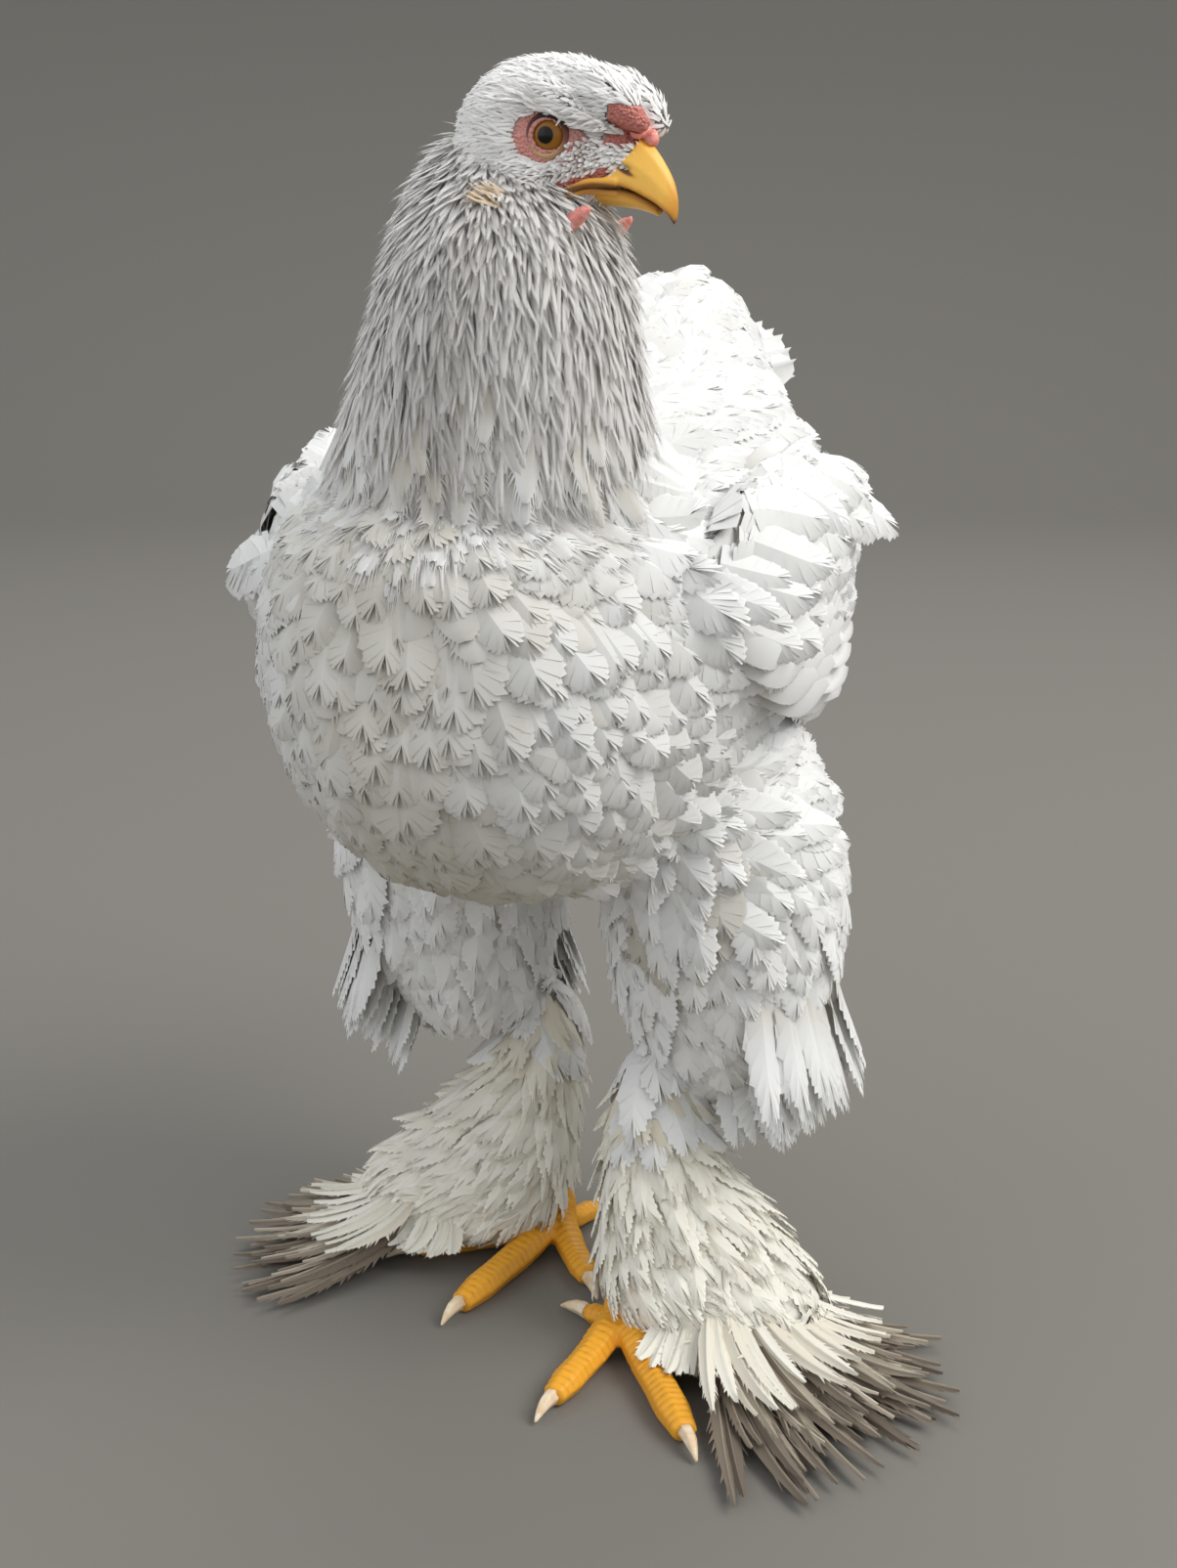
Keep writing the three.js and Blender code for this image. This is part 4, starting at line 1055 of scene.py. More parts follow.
def make_head_coat():
    """Short bristles over the head, clear of the bare skin, with brows and ear feathers."""
    bristle = hair_form(3)
    back_of_head = -head_axes()[0]
    plumage = "head_plumage"

    def flow(p, n):
        sink = step(-to_head(p)[:, 2], -2, 14)[:, None]
        return back_of_head + np.array([0, 0, -0.45]) * sink + n * 0.15

    def keep(p, n):
        local = to_head(p)
        eye = np.hypot((local[:, 0] - 0.3) / 1.1, local[:, 2] + 0.3)
        corner = np.hypot((local[:, 0] - 10) / 3.6, (local[:, 2] - 1) / 2.4)
        bare = ((eye < 7.8) & (local[:, 2] < 6.0)) | (eye < 7.0) | (corner < 1)
        return ~(bare | (gape_share(local) > 0.5) | (comb_share(local) > 0.5)) * 1.0

    def crown(p, n):
        return keep(p, n) * (to_head(p)[:, 2] > -10)

    def brow(p, n):
        local = to_head(p)
        line = 8.4 - 0.22 * (local[:, 0] - 2)
        return (np.abs(local[:, 2] - line) < 1.8) * (local[:, 0] > -9) * (local[:, 0] < 21)

    def ear(p, n):
        local = to_head(p)
        spot = np.column_stack([local[:, 0], np.abs(local[:, 1]), local[:, 2]]) - EAR
        return (np.linalg.norm(spot, axis=1) < 4.6) * 1.0

    def length(p):
        local = to_head(p)
        lore = gauss(local[:, 0], 16, 8) * gauss(local[:, 2], -7, 8)
        near = step(local[:, 0], 2, 8) * (1 - step(np.hypot(local[:, 0], local[:, 2]), 12, 19))
        full = 3.4 + 3.2 * step(-local[:, 0], 0, 22) + 1.2 * step(local[:, 2], 8, 18)
        return full * (1 - 0.5 * lore) * (1 - 0.6 * near)

    def plume_length(p):
        return length(p) * 1.35

    def tone(p):
        local = to_head(p)
        # Painted light makes the crown lighter, and painted shade darkens the crease over the eye; the lores
        # a little darker
        lore = gauss(local[:, 0], 12, 9) * gauss(local[:, 2], -9, 7)
        crease_shade = gauss(local[:, 2] - 5.5 + 0.25 * (local[:, 0] - 4), 0, 2.2) * (local[:, 0] > -10)
        return 0.90 + 0.10 * step(local[:, 2], 5, 16) - 0.05 * lore - 0.18 * crease_shade

    def plume_tone(p):
        return tone(p) * 1.08

    more = {"flow": flow, "steps": 3, "cup": 0.0, "shade": (0.75, 1.0)}
    head = {"base": World.made["head"], **more}
    coat("head_bristles", keep, 0.98, length, 0.95, 0.1, 1.3, bristle, plumage, tone, spread=0.3, **head)
    coat("head_plumes", crown, 1.45, plume_length, 1.1, 0.3, 1.7, bristle, plumage, plume_tone, spread=0.25,
         **head)
    coat("brow_plumes", brow, 0.8, 5.2, 1.0, 0.8, 3.4, bristle, plumage, 0.84, spread=0.2, **head)
    coat("ear_feathers", ear, 1.0, 6.0, 1.2, 2.0, 5.4, bristle, "ear_plumage", 0.95, spread=0.4, **more)


def arc_lines(starts, ways, ups, lengths, curve, steps=7):
    """Lines from the starts along the ways, bent towards the ups by a curve share."""
    t = np.linspace(0, 1, steps + 1)[:, None, None]
    lengths = np.asarray(lengths, float)[None, :, None]
    return starts[None] + ways[None] * lengths * t + ups[None] * (lengths * curve) * t * t


def between(ends, share):
    """The value at a share of the way from the first end to the second."""
    return ends[0] + (ends[1] - ends[0]) * share


def make_wings():
    """Tiers of wing feathers that lie back over the pads."""
    paint = World.made["paints"]["white_plumage"]
    rng = np.random.default_rng(bpy.context.scene.chicken_plumage.seed + 5)
    blade = blade_form(9, 14)
    scale = feather_form(9, 14)
    # Count, then at the lowest and the highest feather its place along the body, height, length and slope
    # in degrees, then width, lift, the tip's further rise and form
    tiers = [
        (9, (8, 70), (250, 300), (104, 74), (9, 5), 22, 4.0, 3.0, blade),
        (9, (-10, 62), (257, 309), (84, 62), (9, 4), 22, 5.5, 1.5, blade),
        (11, (-34, 52), (262, 316), (56, 50), (10, 3), 21, 7.0, 0.5, scale),
        (11, (-46, 36), (270, 322), (44, 42), (12, 2), 20, 8.2, 0.2, scale),
        (10, (-56, 16), (278, 326), (36, 36), (14, 2), 19, 9.0, 0.0, scale),
        (9, (-62, -4), (284, 328), (32, 32), (14, 2), 18, 9.4, 0.0, scale),
    ]
    last = 7

    def backward(p, n):
        return np.tile([0.0, 1.0, -0.12], (len(p), 1))

    for side, sign, loose in WINGS:
        first = None
        for number, (count, ys, zs, lengths, slopes, width, lift, rise, form) in enumerate(tiers):
            feathers = []
            for i in range(count):
                share = i / (count - 1)
                length = between(lengths, share) * (1 + rng.normal(0, 0.03))
                slope = math.radians(between(slopes, share))
                line = []
                for k in range(last + 1):
                    run = length * k / last
                    y = between(ys, share) + run * math.cos(slope)
                    z = between(zs, share) - run * math.sin(slope) + 0.0012 * run * run
                    off = (loose + lift) * min(1, 0.1 + 2.2 * k / last) + rise * k / last + 0.7 * share
                    line.append(flank(sign, y, z, off))
                feathers.append(line)
            spine, normal = np.array(feathers).transpose(2, 1, 0, 3)
            widths = width * (1 + rng.normal(0, 0.03, count))
            obj = dress(f"wing_{side}_tier_{number + 1}", spine, normal, form, widths, paint, rng,
                        World.made["shift"], 0.94 + rng.normal(0, 0.03, count), cup=0.2, twist=0.04,
                        shade=(0.6, 1.0))
            first = first or obj
        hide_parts("wing_" + side)

        def pad(p, n, sign=sign):
            return on_wing(p, 16) * (p[:, 0] * sign > 0)

        coat(f"wing_{side}_small", pad, 6.0, 24, 17, 2.5, 6, barb_form(12), "white_plumage", 0.93,
             flow=backward, cup=0.2, shade=(0.8, 1.0), ragged=0.07)


def make_tail():
    """The short tail: a row of stiff feathers under three rows of rounded ones."""
    paint = World.made["paints"]["white_plumage"]
    rng = np.random.default_rng(bpy.context.scene.chicken_plumage.seed + 9)
    stiff, soft = blade_form(10, 16), feather_form(9, 14)
    # Count, spread to each side in degrees, length, lift, start behind the tail's root, form and tone
    rows = [
        (12, 22, 82, 0, 2, stiff, 0.86),
        (9, 20, 64, 7, 0, soft, 0.94),
        (9, 21, 48, 13, -6, soft, 0.95),
        (8, 22, 36, 18, -12, soft, 0.95),
    ]
    width, rises, last = 22, (15, 15, 15, 13), 7
    first = None
    for number, (count, spread, reach, lift, start, form, tone) in enumerate(rows):
        share = np.linspace(-1, 1, count)
        turn = np.radians(spread) * share
        out = np.column_stack([np.sin(turn), np.cos(turn), np.zeros(count)])
        roof = np.column_stack([np.sin(share), np.zeros(count), np.cos(share)])
        spine = []
        for k in range(last + 1):
            t = k / last
            p = TAIL_ROOT + out * (start + reach * t * (1 - 0.12 * share ** 2))[:, None]
            p[:, 2] += lift + rises[number] * t - 5 * t * t - 15 * share ** 2 + 0.7 * (np.arange(count) % 2)
            spine.append(p)
        up = np.repeat(roof[None], last + 1, 0)
        obj = dress(f"tail_row_{number + 1}", np.array(spine), up, form, width, paint, rng,
                    World.made["shift"], tone + rng.normal(0, 0.02, count), cup=0.22, twist=0.04,
                    shade=(0.7, 1.0))
        first = first or obj
    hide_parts("tail")


def make_toes():
    """Toes with cross scales on top, and their claws."""
    paints = World.made["paints"]
    place = World.made["shift"]
    for side, leg in LEGS.items():
        sign = leg["sign"]
        verts, faces = remeshed(*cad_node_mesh("foot_" + side), 0.9, 2)
        ankle = np.array(leg["ankle"], float)
        # The ankle narrows where the shank's plumage hides it
        slim = (1 - 0.45 * step(verts[:, 2], 16, 26))[:, None]
        verts[:, :2] = ankle + (verts[:, :2] - ankle) * slim
        normals = vertex_normals(verts, faces)
        best = np.full(len(verts), 1e9)
        run = np.zeros(len(verts))
        for heading, length in TOES[side].values():
            angle = math.radians(heading) * sign
            ahead = np.array([math.sin(angle), -math.cos(angle)])
            rel = verts[:, :2] - ankle
            along = np.clip(rel @ ahead, 0, length)
            off = np.linalg.norm(rel - along[:, None] * ahead, axis=1)
            run = np.where(off < best, along, run)
            best = np.minimum(best, off)
        wave = (run / TOE_SCALE) % 1.0
        top = np.clip(normals[:, 2] + 0.25, 0, 1)
        bump = (1 - (2 * wave - 1) ** 4) * 0.55 * top
        verts = verts + normals * (bump - 0.2)[:, None]
        verts[:, 2] = np.maximum(verts[:, 2], 0.0)
        foot = new_object("toes_" + side, verts * MM + place, faces, paints["toe_scales"])
        groove = np.abs(2 * wave - 1) ** 6
        # Darker grooves between the scales, and painted shade on the undersides
        under = 1 - step(normals[:, 2], -0.6, 0.2)
        set_tone(foot, "tone", np.clip(0.88 - 0.62 * groove * top - 0.25 * under, 0, 1))
        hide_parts("foot_" + side)
        for toe in TOES[side]:
            node = f"claw_{side}_{toe}"
            cv, cf = remeshed(*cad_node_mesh(node), 0.45, 3)
            claw = new_object("horn_" + node, cv * MM + place, cf, paints["claw_horn"])
            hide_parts(node)


def make_foot_feathers():
    """The fan of long feathers on each foot, and the tufts that hang at the hocks."""
    paints = World.made["paints"]
    place = World.made["shift"]
    rng = np.random.default_rng(bpy.context.scene.chicken_plumage.seed + 3)
    quill = blade_form(11, 18, full=0.3, point=0.8)
    plume = blade_form(9, 12, full=0.45, point=0.7)
    tuft = barb_form(12, blunt=0.35, waist=0.35, sweep=0.7)
    for side, leg in LEGS.items():
        sign = leg["sign"]
        middle = np.array([leg["shank"][0] + sign * 28.0, leg["shank"][1] - 8.0 - leg["lean"], 0])
        scale = 1.0 if side == "left" else 0.82
        # Name, count, first and last heading in degrees, length, height at the floor, width, material, tones
        # and form
        fans = [
            ("fan_under", 30, 20, 112, 90, 2.8, 8.0, "fan_plumage", (0.25, 0.55), quill),
            ("fan_middle", 28, 22, 116, 82, 6.0, 7.5, "fan_plumage", (0.35, 0.75), quill),
            ("fan_over", 22, 26, 118, 66, 10.0, 7.0, "fan_plumage", (0.45, 1.0), quill),
            ("fan_pale", 18, 16, 125, 54, 14.0, 7.0, "cream_plumage", (0.6, 1.0), quill),
            ("fan_cover", 50, -20, 160, 25, 11.0, 7.0, "cream_plumage", (0.85, 1.0), plume),
        ]
        first = None
        for name, count, start, end, reach, lift, width, paint, tones, form in fans:
            share = (np.arange(count) + rng.uniform(-0.3, 0.3, count)) / (count - 1)
            heading = np.radians(start + (end - start) * share)
            out = np.column_stack([sign * np.sin(heading), -np.cos(heading), np.zeros(count)])
            length = 1.04 - 0.36 * np.clip(share, 0, 1) ** 2 + rng.uniform(-0.28, 0.03, count)
            length = reach * length * scale
            aside = np.column_stack([-out[:, 1], out[:, 0], np.zeros(count)]) * sign
            bend = 0.26 * (0.5 - share) + rng.normal(0, 0.07, count)
            spine = []
            for k in range(9):
                t = k / 8
                p = middle + out * (24 + length * t)[:, None] + aside * (length * bend * t * t)[:, None]
                p[:, 2] = lift + 13 * (1 - t) ** 2 + rng.uniform(-0.3, 0.3, count) + 1.2 * t
                spine.append(p)
            spine = np.array(spine)
            spine[:, :, 2] = np.maximum(spine[:, :, 2], 2.2)
            up = np.zeros_like(spine)
            up[:, :, 2] = 1
            widths = width * (1 + rng.normal(0, 0.18, count))
            obj = dress(f"{name}_{side}", spine, up, form, widths, paints[paint], rng, place,
                        rng.uniform(*tones, count), cup=0.12, ragged=0.25, twist=0.4, shade=(0.75, 1.0),
                        slot="foot_feathers" if paint == "fan_plumage" else "plumage")
            first = first or obj
        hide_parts("fan_" + side)
        # Long feathers that hang behind and outside the hock
        count = 150
        way = np.radians(rng.uniform(-55, 150, count))
        out = np.column_stack([sign * np.cos(way), np.sin(way), np.zeros(count)])
        z = rng.uniform(HOCK_LOW, HOCK_HIGH, count)
        rows = np.array([table(THIGH, v) for v in z])
        start = np.column_stack([
            leg["thigh"][0] + sign * rows[:, 1] + out[:, 0] * (rows[:, 3] - 7),
            leg["thigh"][1] + rows[:, 2] + out[:, 1] * (rows[:, 4] - 7), z])
        fall = unit(out * 0.28 + np.array([0, 0.05, -1.0]))
        length = 34 + (z - HOCK_LOW) * 0.42 + rng.uniform(-8, 3, count)
        spine = arc_lines(start, fall, out, length, 0.06)
        obj = dress("hock_tuft_" + side, spine, np.repeat(out[None], 8, 0), tuft,
                    13 * (1 + rng.normal(0, 0.12, count)), paints["white_plumage"], rng, place,
                    rng.uniform(0.85, 0.98, count), cup=0.2, twist=0.25)
        World.made.setdefault("coats", []).append(obj)


def from_primitive(name, material, shape):
    """Takes up the primitive just added, gives its points their shape in millimetres and finishes it."""
    obj = bpy.context.object
    obj.name = obj.data.name = name
    obj.location = (0, 0, 0)
    verts = mesh_arrays(obj.data)[0] / MM
    obj.data.vertices.foreach_set("co", (shape(verts) * MM + World.made["shift"]).astype(np.float32).ravel())
    bpy.ops.object.shade_smooth()
    obj.data.materials.append(material)
    obj.data.update()
    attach(obj, "root")
    return obj, verts


def make_eyes():
    """Eyeballs with pupil and iris, and the rims of the lids."""
    paints = World.made["paints"]
    axes = head_axes()
    face = bpy.context.scene.chicken_face
    pupil, iris = face.pupil_radius / MM, face.iris_radius / MM
    for side, sign in (("left", 1), ("right", -1)):
        centre = in_head(0, sign * EYE_ASIDE, 0)
        gaze = unit(axes[1] * sign * math.cos(EYE_TURN) + axes[0] * math.sin(EYE_TURN))
        flat = unit(np.cross(gaze, axes[2]))
        tall = np.cross(flat, gaze)
        turned = np.array([flat, tall, gaze])

        def ball(verts, centre=centre, turned=turned):
            lat = np.arccos(np.clip(unit(verts)[:, 2], -1, 1))
            return centre + (verts * (1 + 0.045 * np.exp(-((lat / 0.62) ** 4)))[:, None]) @ turned

        bpy.ops.object.select_all(action="DESELECT")
        bpy.ops.mesh.primitive_uv_sphere_add(segments=48, ring_count=72, radius=EYE_RADIUS * MM,
                                             location=(0, 0, 0))
        eye, raw = from_primitive("eyeball_" + side, paints["eye"], ball)
        radial = np.hypot(raw[:, 0], raw[:, 1])
        rings = [0, pupil, pupil + 0.15, iris, iris + 0.4, EYE_RADIUS]
        value = np.interp(radial, rings, [0, 0.30, 0.34, 0.60, 0.68, 1])
        set_tone(eye, "tone", np.where(raw[:, 2] > 0, value, 1))
        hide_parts("eye_" + side)

        def rim(verts, centre=centre, turned=turned):
            # The rim stands round the eye, lower at the top where the lid hangs
            turn = np.arctan2(verts[:, 1], verts[:, 0])
            high = np.where(np.sin(turn) > 0, 5.9, 6.3)
            out = np.hypot(verts[:, 0], verts[:, 1]) - 5.5
            x, y = (6.4 + out) * np.cos(turn), (high + out) * np.sin(turn)
            depth = np.sqrt(np.maximum((EYE_RADIUS + 1.35) ** 2 - x ** 2 - y ** 2, 0)) + verts[:, 2] * 0.8
            return centre + np.column_stack([x, y, depth]) @ turned

        bpy.ops.object.select_all(action="DESELECT")
        bpy.ops.mesh.primitive_torus_add(major_segments=48, minor_segments=12, major_radius=5.5 * MM,
                                         minor_radius=0.8 * MM, location=(0, 0, 0))
        lid, raw = from_primitive("lids_" + side, paints["lid"], rim)
        # The top of the rim is dark, a lid line with painted shadow of the brow; the sides are red and the
        # lower rim yellow
        set_tone(lid, "tone", np.clip(0.45 - 0.5 * np.sin(np.arctan2(raw[:, 1], raw[:, 0])), 0, 1))


def make_beak_and_comb():
    """The beak with painted shade along its mouth line, the comb and the wattles."""
    paints = World.made["paints"]
    place = World.made["shift"]
    for side in ("left", "right"):
        node = "wattle_" + side
        wv, wf = remeshed(*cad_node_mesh(node), 0.5, 3)
        # The wattle is a slanting fold on the throat, just proud of the hackles
        spot, out = wattle_place(1 if side == "left" else -1)
        local = to_head(wv + HEAD_PLACE - wv.mean(0))
        local[:, 0] += local[:, 2] * 0.9
        wv = local @ head_axes() + spot + out * 2.2
        wattle = new_object("skin_" + node, wv * MM + place, wf, paints["comb_skin"])
        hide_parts(node)
    for node in ("beak_upper", "beak_lower"):
        verts, faces = remeshed(*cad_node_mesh(node), 0.42, 14)
        local = to_head(verts)
        if node == "beak_lower":
            # The lower half is shallow and closes against the upper one
            top = np.interp(local[:, 0], LOWER_RUN, LOWER_RIM)
            verts = verts + head_axes()[2] * (0.6 + 0.36 * np.maximum(top - local[:, 2], 0))[:, None]
            local = to_head(verts)
        piece = new_object("horn_" + node, verts * MM + place, faces, paints["beak_horn"])
        if node == "beak_upper":
            # Painted shade along the mouth, where the halves meet, and in the slit of the nostril; a dark
            # tip, and the nostril's pale roll
            rise = local[:, 2] - np.interp(local[:, 0], UPPER_RUN, UPPER_MOUTH)
            tone = 0.97 - 0.62 * np.exp(-(rise / 1.3) ** 2) - 0.18 * np.exp(-(rise / 3.2) ** 2)
            tone -= 0.45 * step(local[:, 0], 35.5, 40.5)
            slit = local[:, 2] + 7.4 + 0.35 * (local[:, 0] - 24)
            tone -= 0.95 * np.exp(-(((local[:, 0] - 24) / 3.4) ** 2 + (slit / 0.9) ** 2) ** 2)
            tone += 0.1 * np.exp(-(((local[:, 0] - 24.5) / 3) ** 2 + ((slit - 2.2) / 1.6) ** 2))
        else:
            # Painted shade along the mouth, where the halves meet
            rise = local[:, 2] - np.interp(local[:, 0], LOWER_RUN, LOWER_MOUTH)
            tone = 0.88 - 0.5 * np.exp(-(rise / 1.3) ** 2)
        set_tone(piece, "tone", np.clip(tone, 0, 1))
        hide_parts(node)
    verts, faces = remeshed(*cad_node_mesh("comb"), 0.5, 2)
    comb = new_object("skin_comb", verts * MM + place, faces, paints["comb_skin"])
    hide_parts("comb")


def make_stage():
    """Plain floor that sweeps up behind the bird, soft lights and the camera at the photograph's angle."""
    place = shift()
    scene = bpy.context.scene
    look = scene.chicken_stage
    bpy.ops.object.select_all(action="DESELECT")
    bpy.ops.mesh.primitive_grid_add(x_subdivisions=2, y_subdivisions=80, size=2, location=(0, 0, 0))
    floor = bpy.context.object
    floor.name = floor.data.name = "floor"
    verts = mesh_arrays(floor.data)[0]
    half, front, bend, radius = 6, -5, 2.4, 1.2
    run = (verts[:, 1] + 1) * half + front
    arc = np.clip((run - bend) / radius, 0, math.pi / 2)
    wall = np.maximum(run - bend - radius * math.pi / 2, 0)
    along = np.minimum(run, bend) + radius * np.sin(arc)
    rise = radius * (1 - np.cos(arc)) + wall
    across = verts[:, 0] * half
    c, n = math.cos(CAMERA_YAW), math.sin(CAMERA_YAW)
    verts = np.column_stack([across * c - along * n, across * n + along * c, rise])
    floor.data.vertices.foreach_set("co", verts.astype(np.float32).ravel())
    floor.data.update()
    bpy.ops.object.shade_smooth()
    floor.data.materials.append(Paint("floor", Roughness=0.9).base(tuple(look.floor)).material)
    for name, where, size, power, colour in (
            ("key", (1.9, 0.0, 2.1), 1.6, look.key_power, (1.0, 0.98, 0.95)),
            ("fill", (-1.8, -1.8, 1.4), 2.4, look.key_power * 0.16, (0.94, 0.97, 1.0)),
            ("back", (-0.5, 1.7, 2.3), 1.6, look.key_power * 0.5, (1.0, 1.0, 1.0))):
        turn = (Vector((0, 0, 0.25)) - Vector(where)).to_track_quat("-Z", "Y").to_euler()
        bpy.ops.object.light_add(type="AREA", radius=size, location=where, rotation=turn)
        lamp = bpy.context.object
        lamp.name = lamp.data.name = name
        lamp.data.energy, lamp.data.size, lamp.data.color = power, size, colour
    world = bpy.data.worlds.new("studio")
    world.use_nodes = True
    world.node_tree.nodes["Background"].inputs[0].default_value = (0.95, 0.97, 1.0, 1)
    world.node_tree.nodes["Background"].inputs[1].default_value = look.sky
    scene.world = world
    bpy.ops.object.camera_add(location=Vector(np.array(CAMERA_PLACE) * MM + place),
                              rotation=(math.pi / 2 - CAMERA_PITCH, 0, CAMERA_YAW))
    camera = bpy.context.object
    camera.name = "camera"
    camera.data.lens, camera.data.sensor_width, camera.data.sensor_fit = CAMERA_LENS, 36.0, "AUTO"
    scene.camera = camera
    scene.view_settings.view_transform = "Standard"


# Settings, operators and panel

def colour(name, text, default):
    """A colour setting."""
    return bpy.props.FloatVectorProperty(name=name, description=text, subtype="COLOR", size=3, min=0, max=1,
                                         default=default)


class ChickenPlumage(bpy.types.PropertyGroup):
    """Sizes and colours of the feathers"""
    seed: bpy.props.IntProperty(name="Seed", description="Changes how the feathers fall", default=11, min=0)
    feather_size: bpy.props.FloatProperty(name="Feather size", description="Size of every scattered feather",
                                          default=1.0, min=0.7, max=1.3, subtype="FACTOR")
    white: colour("White", "Tips of the white feathers", (0.87, 0.87, 0.85))
    neck: colour("Neck", "Palest part of the hackles and the head's bristles", (0.82, 0.81, 0.79))
    cream: colour("Cream", "Palest part of the shank feathers", (0.90, 0.88, 0.79))


class ChickenFace(bpy.types.PropertyGroup):
    """Sizes and colours of the face"""
    pupil_radius: bpy.props.FloatProperty(name="Pupil radius", description="Half the width of the pupil",
                                          default=0.0024, min=0.001, max=0.004, unit="LENGTH")
    iris_radius: bpy.props.FloatProperty(name="Iris radius", description="Half the width of the iris",
                                         default=0.0056, min=0.0045, max=0.007, unit="LENGTH")
    iris: colour("Iris", "Colour of the iris", (0.36, 0.15, 0.014))
    red: colour("Red skin", "Comb, wattles and bare skin", (0.92, 0.33, 0.28))
    horn: colour("Beak", "Palest part of the beak", (0.95, 0.55, 0.10))


class ChickenFeet(bpy.types.PropertyGroup):
    """Colours of the feet"""
    toes: colour("Toes", "Scales of the toes", (0.95, 0.44, 0.035))
    fan: colour("Foot feathers", "Middle tone of the long feathers on the feet", (0.20, 0.16, 0.12))


class ChickenStage(bpy.types.PropertyGroup):
    """Light and floor"""
    key_power: bpy.props.FloatProperty(name="Key power", description="Power of the main lamp", default=46.0,
                                       min=0, max=500, unit="POWER")
    sky: bpy.props.FloatProperty(name="Sky", description="Strength of the even light from all round",
                                 default=0.8, min=0, max=5)
    floor: colour("Floor", "Colour of the floor", (0.20, 0.19, 0.17))


class CHICKEN_OT_skin(bpy.types.Operator):
    """Makes the skin under the plumage and the skin of the face"""
    bl_idname = "chicken.skin"
    bl_label = "Skin"

    def execute(self, context):
        make_skin()
        return {"FINISHED"}


class CHICKEN_OT_body_coat(bpy.types.Operator):
    """Covers breast, belly and back with rounded feathers"""
    bl_idname = "chicken.body_coat"
    bl_label = "Body Feathers"

    def execute(self, context):
        make_body_coat()
        return {"FINISHED"}


class CHICKEN_OT_neck_coat(bpy.types.Operator):
    """Covers the neck with fine hackles"""
    bl_idname = "chicken.neck_coat"
    bl_label = "Hackles"

    def execute(self, context):
        make_neck_coat()
        return {"FINISHED"}


class CHICKEN_OT_leg_coat(bpy.types.Operator):
    """Covers thighs and shanks with loose feathers"""
    bl_idname = "chicken.leg_coat"
    bl_label = "Leg Feathers"

    def execute(self, context):
        make_leg_coat()
        return {"FINISHED"}


class CHICKEN_OT_head_coat(bpy.types.Operator):
    """Covers the head with short bristles and plumes"""
    bl_idname = "chicken.head_coat"
    bl_label = "Head Bristles"

    def execute(self, context):
        make_head_coat()
        return {"FINISHED"}


class CHICKEN_OT_wings(bpy.types.Operator):
    """Lays the tiers of wing feathers over both flanks"""
    bl_idname = "chicken.wings"
    bl_label = "Wings"

    def execute(self, context):
        make_wings()
        return {"FINISHED"}


class CHICKEN_OT_tail(bpy.types.Operator):
    """Makes the short tail"""
    bl_idname = "chicken.tail"
    bl_label = "Tail"

    def execute(self, context):
        make_tail()
        return {"FINISHED"}


class CHICKEN_OT_toes(bpy.types.Operator):
    """Makes the scaled toes and their claws"""
    bl_idname = "chicken.toes"
    bl_label = "Toes and Claws"

    def execute(self, context):
        make_toes()
        return {"FINISHED"}


class CHICKEN_OT_foot_feathers(bpy.types.Operator):
    """Spreads the long feathers on the feet and hangs the tufts at the hocks"""
    bl_idname = "chicken.foot_feathers"
    bl_label = "Foot Feathers"

    def execute(self, context):
        make_foot_feathers()
        return {"FINISHED"}


class CHICKEN_OT_eyes(bpy.types.Operator):
    """Makes the eyes and the rims of their lids"""
    bl_idname = "chicken.eyes"
    bl_label = "Eyes"

    def execute(self, context):
        make_eyes()
        return {"FINISHED"}


class CHICKEN_OT_beak_and_comb(bpy.types.Operator):
    """Makes the beak, the comb and the wattles"""
    bl_idname = "chicken.beak_and_comb"
    bl_label = "Beak and Comb"

    def execute(self, context):
        make_beak_and_comb()
        return {"FINISHED"}


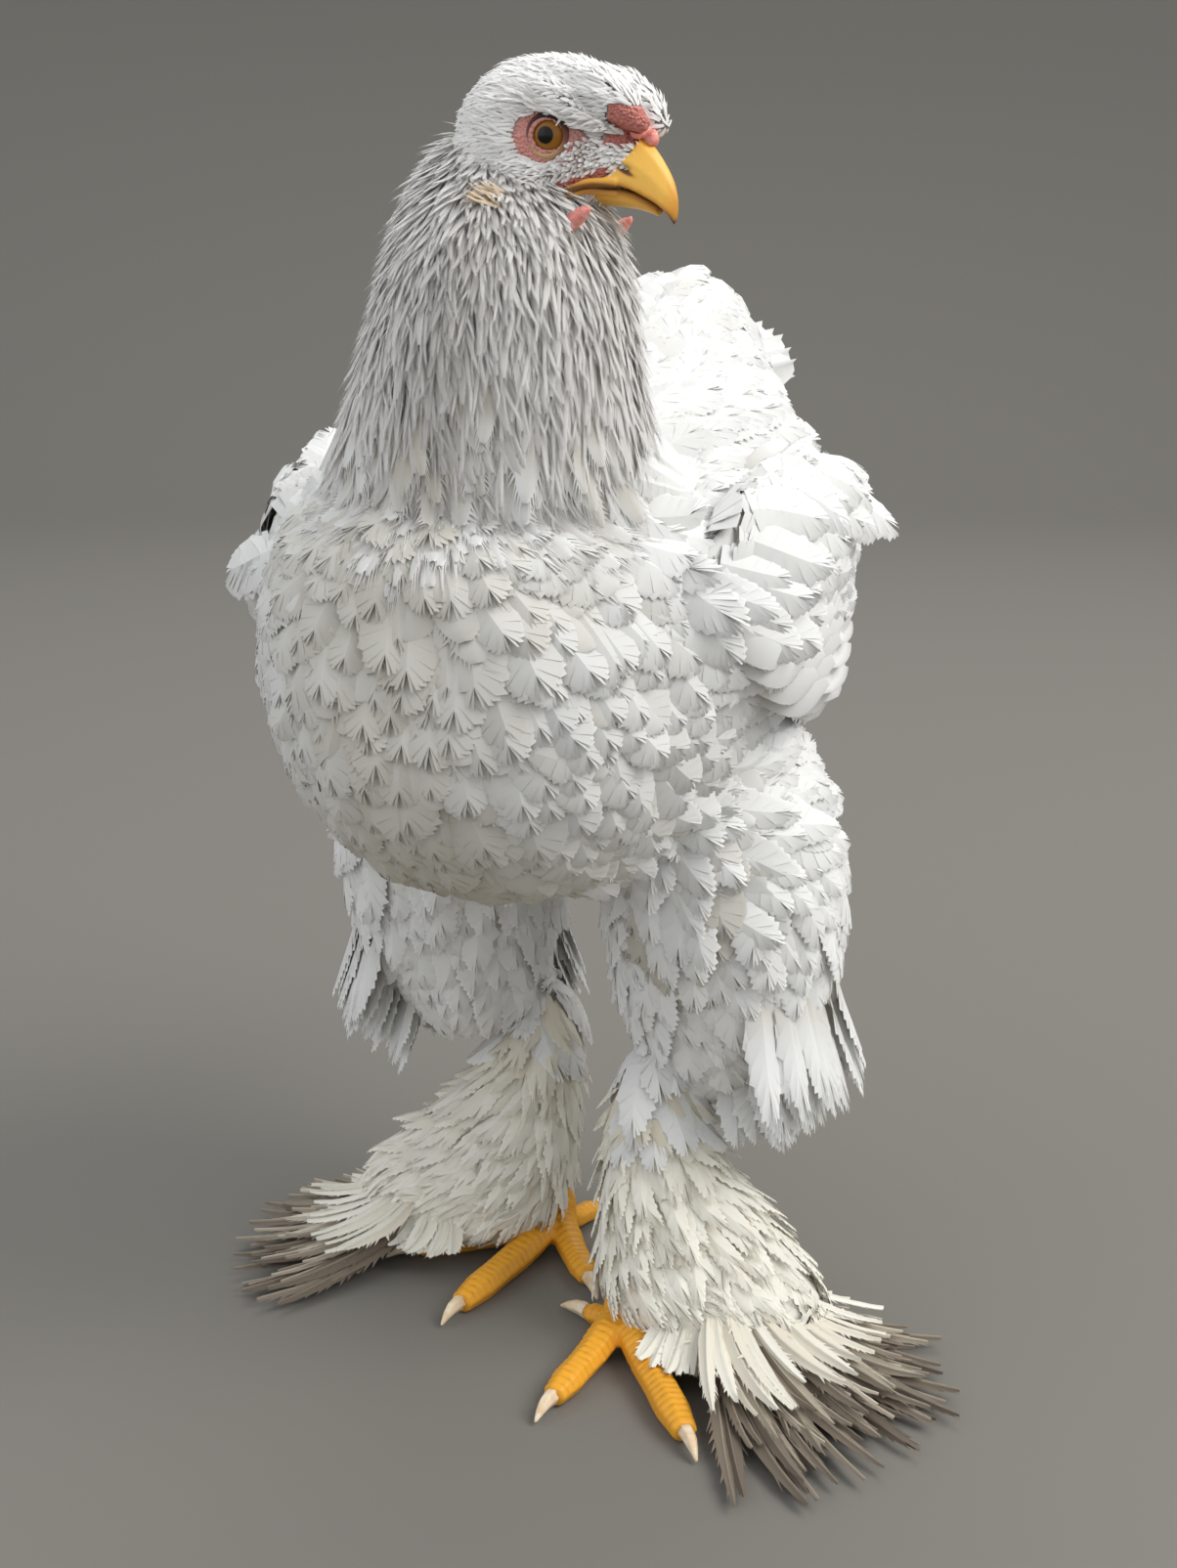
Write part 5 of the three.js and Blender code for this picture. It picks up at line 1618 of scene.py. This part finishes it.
class CHICKEN_OT_stage(bpy.types.Operator):
    """Sets floor, lights and camera"""
    bl_idname = "chicken.stage"
    bl_label = "Stage"

    def execute(self, context):
        make_stage()
        return {"FINISHED"}


PIECES = (CHICKEN_OT_skin, CHICKEN_OT_body_coat, CHICKEN_OT_neck_coat, CHICKEN_OT_leg_coat,
          CHICKEN_OT_head_coat, CHICKEN_OT_wings, CHICKEN_OT_tail, CHICKEN_OT_toes, CHICKEN_OT_foot_feathers,
          CHICKEN_OT_eyes, CHICKEN_OT_beak_and_comb, CHICKEN_OT_stage)
GROUPS = (("chicken_plumage", ChickenPlumage), ("chicken_face", ChickenFace), ("chicken_feet", ChickenFeet),
          ("chicken_stage", ChickenStage))


class VIEW3D_PT_chicken(bpy.types.Panel):
    """Lists the settings and the pieces of the bird"""
    bl_label = "Brahma Chicken"
    bl_space_type = "VIEW_3D"
    bl_region_type = "UI"
    bl_category = "Chicken"

    def draw(self, context):
        for name, kind in GROUPS:
            box = self.layout.box()
            for key in kind.__annotations__:
                box.prop(getattr(context.scene, name), key)
        for piece in PIECES:
            self.layout.operator(piece.bl_idname)


def register():
    """Makes the settings, the operators and the panel known to Blender."""
    for kind in (*(group for _, group in GROUPS), *PIECES, VIEW3D_PT_chicken):
        bpy.utils.register_class(kind)
    for name, kind in GROUPS:
        setattr(bpy.types.Scene, name, bpy.props.PointerProperty(type=kind))


def unregister():
    """Takes them away again."""
    for name, _ in GROUPS:
        delattr(bpy.types.Scene, name)
    for kind in (VIEW3D_PT_chicken, *reversed(PIECES), *(group for _, group in GROUPS)):
        bpy.utils.unregister_class(kind)


def main():
    """Builds the bird and its stage."""
    register()
    bpy.ops.chicken.skin()
    bpy.ops.chicken.body_coat()
    bpy.ops.chicken.neck_coat()
    bpy.ops.chicken.leg_coat()
    bpy.ops.chicken.head_coat()
    bpy.ops.chicken.wings()
    bpy.ops.chicken.tail()
    bpy.ops.chicken.toes()
    bpy.ops.chicken.foot_feathers()
    bpy.ops.chicken.eyes()
    bpy.ops.chicken.beak_and_comb()
    bpy.ops.chicken.stage()
    bpy.context.view_layer.update()


if __name__ == "__main__":
    main()
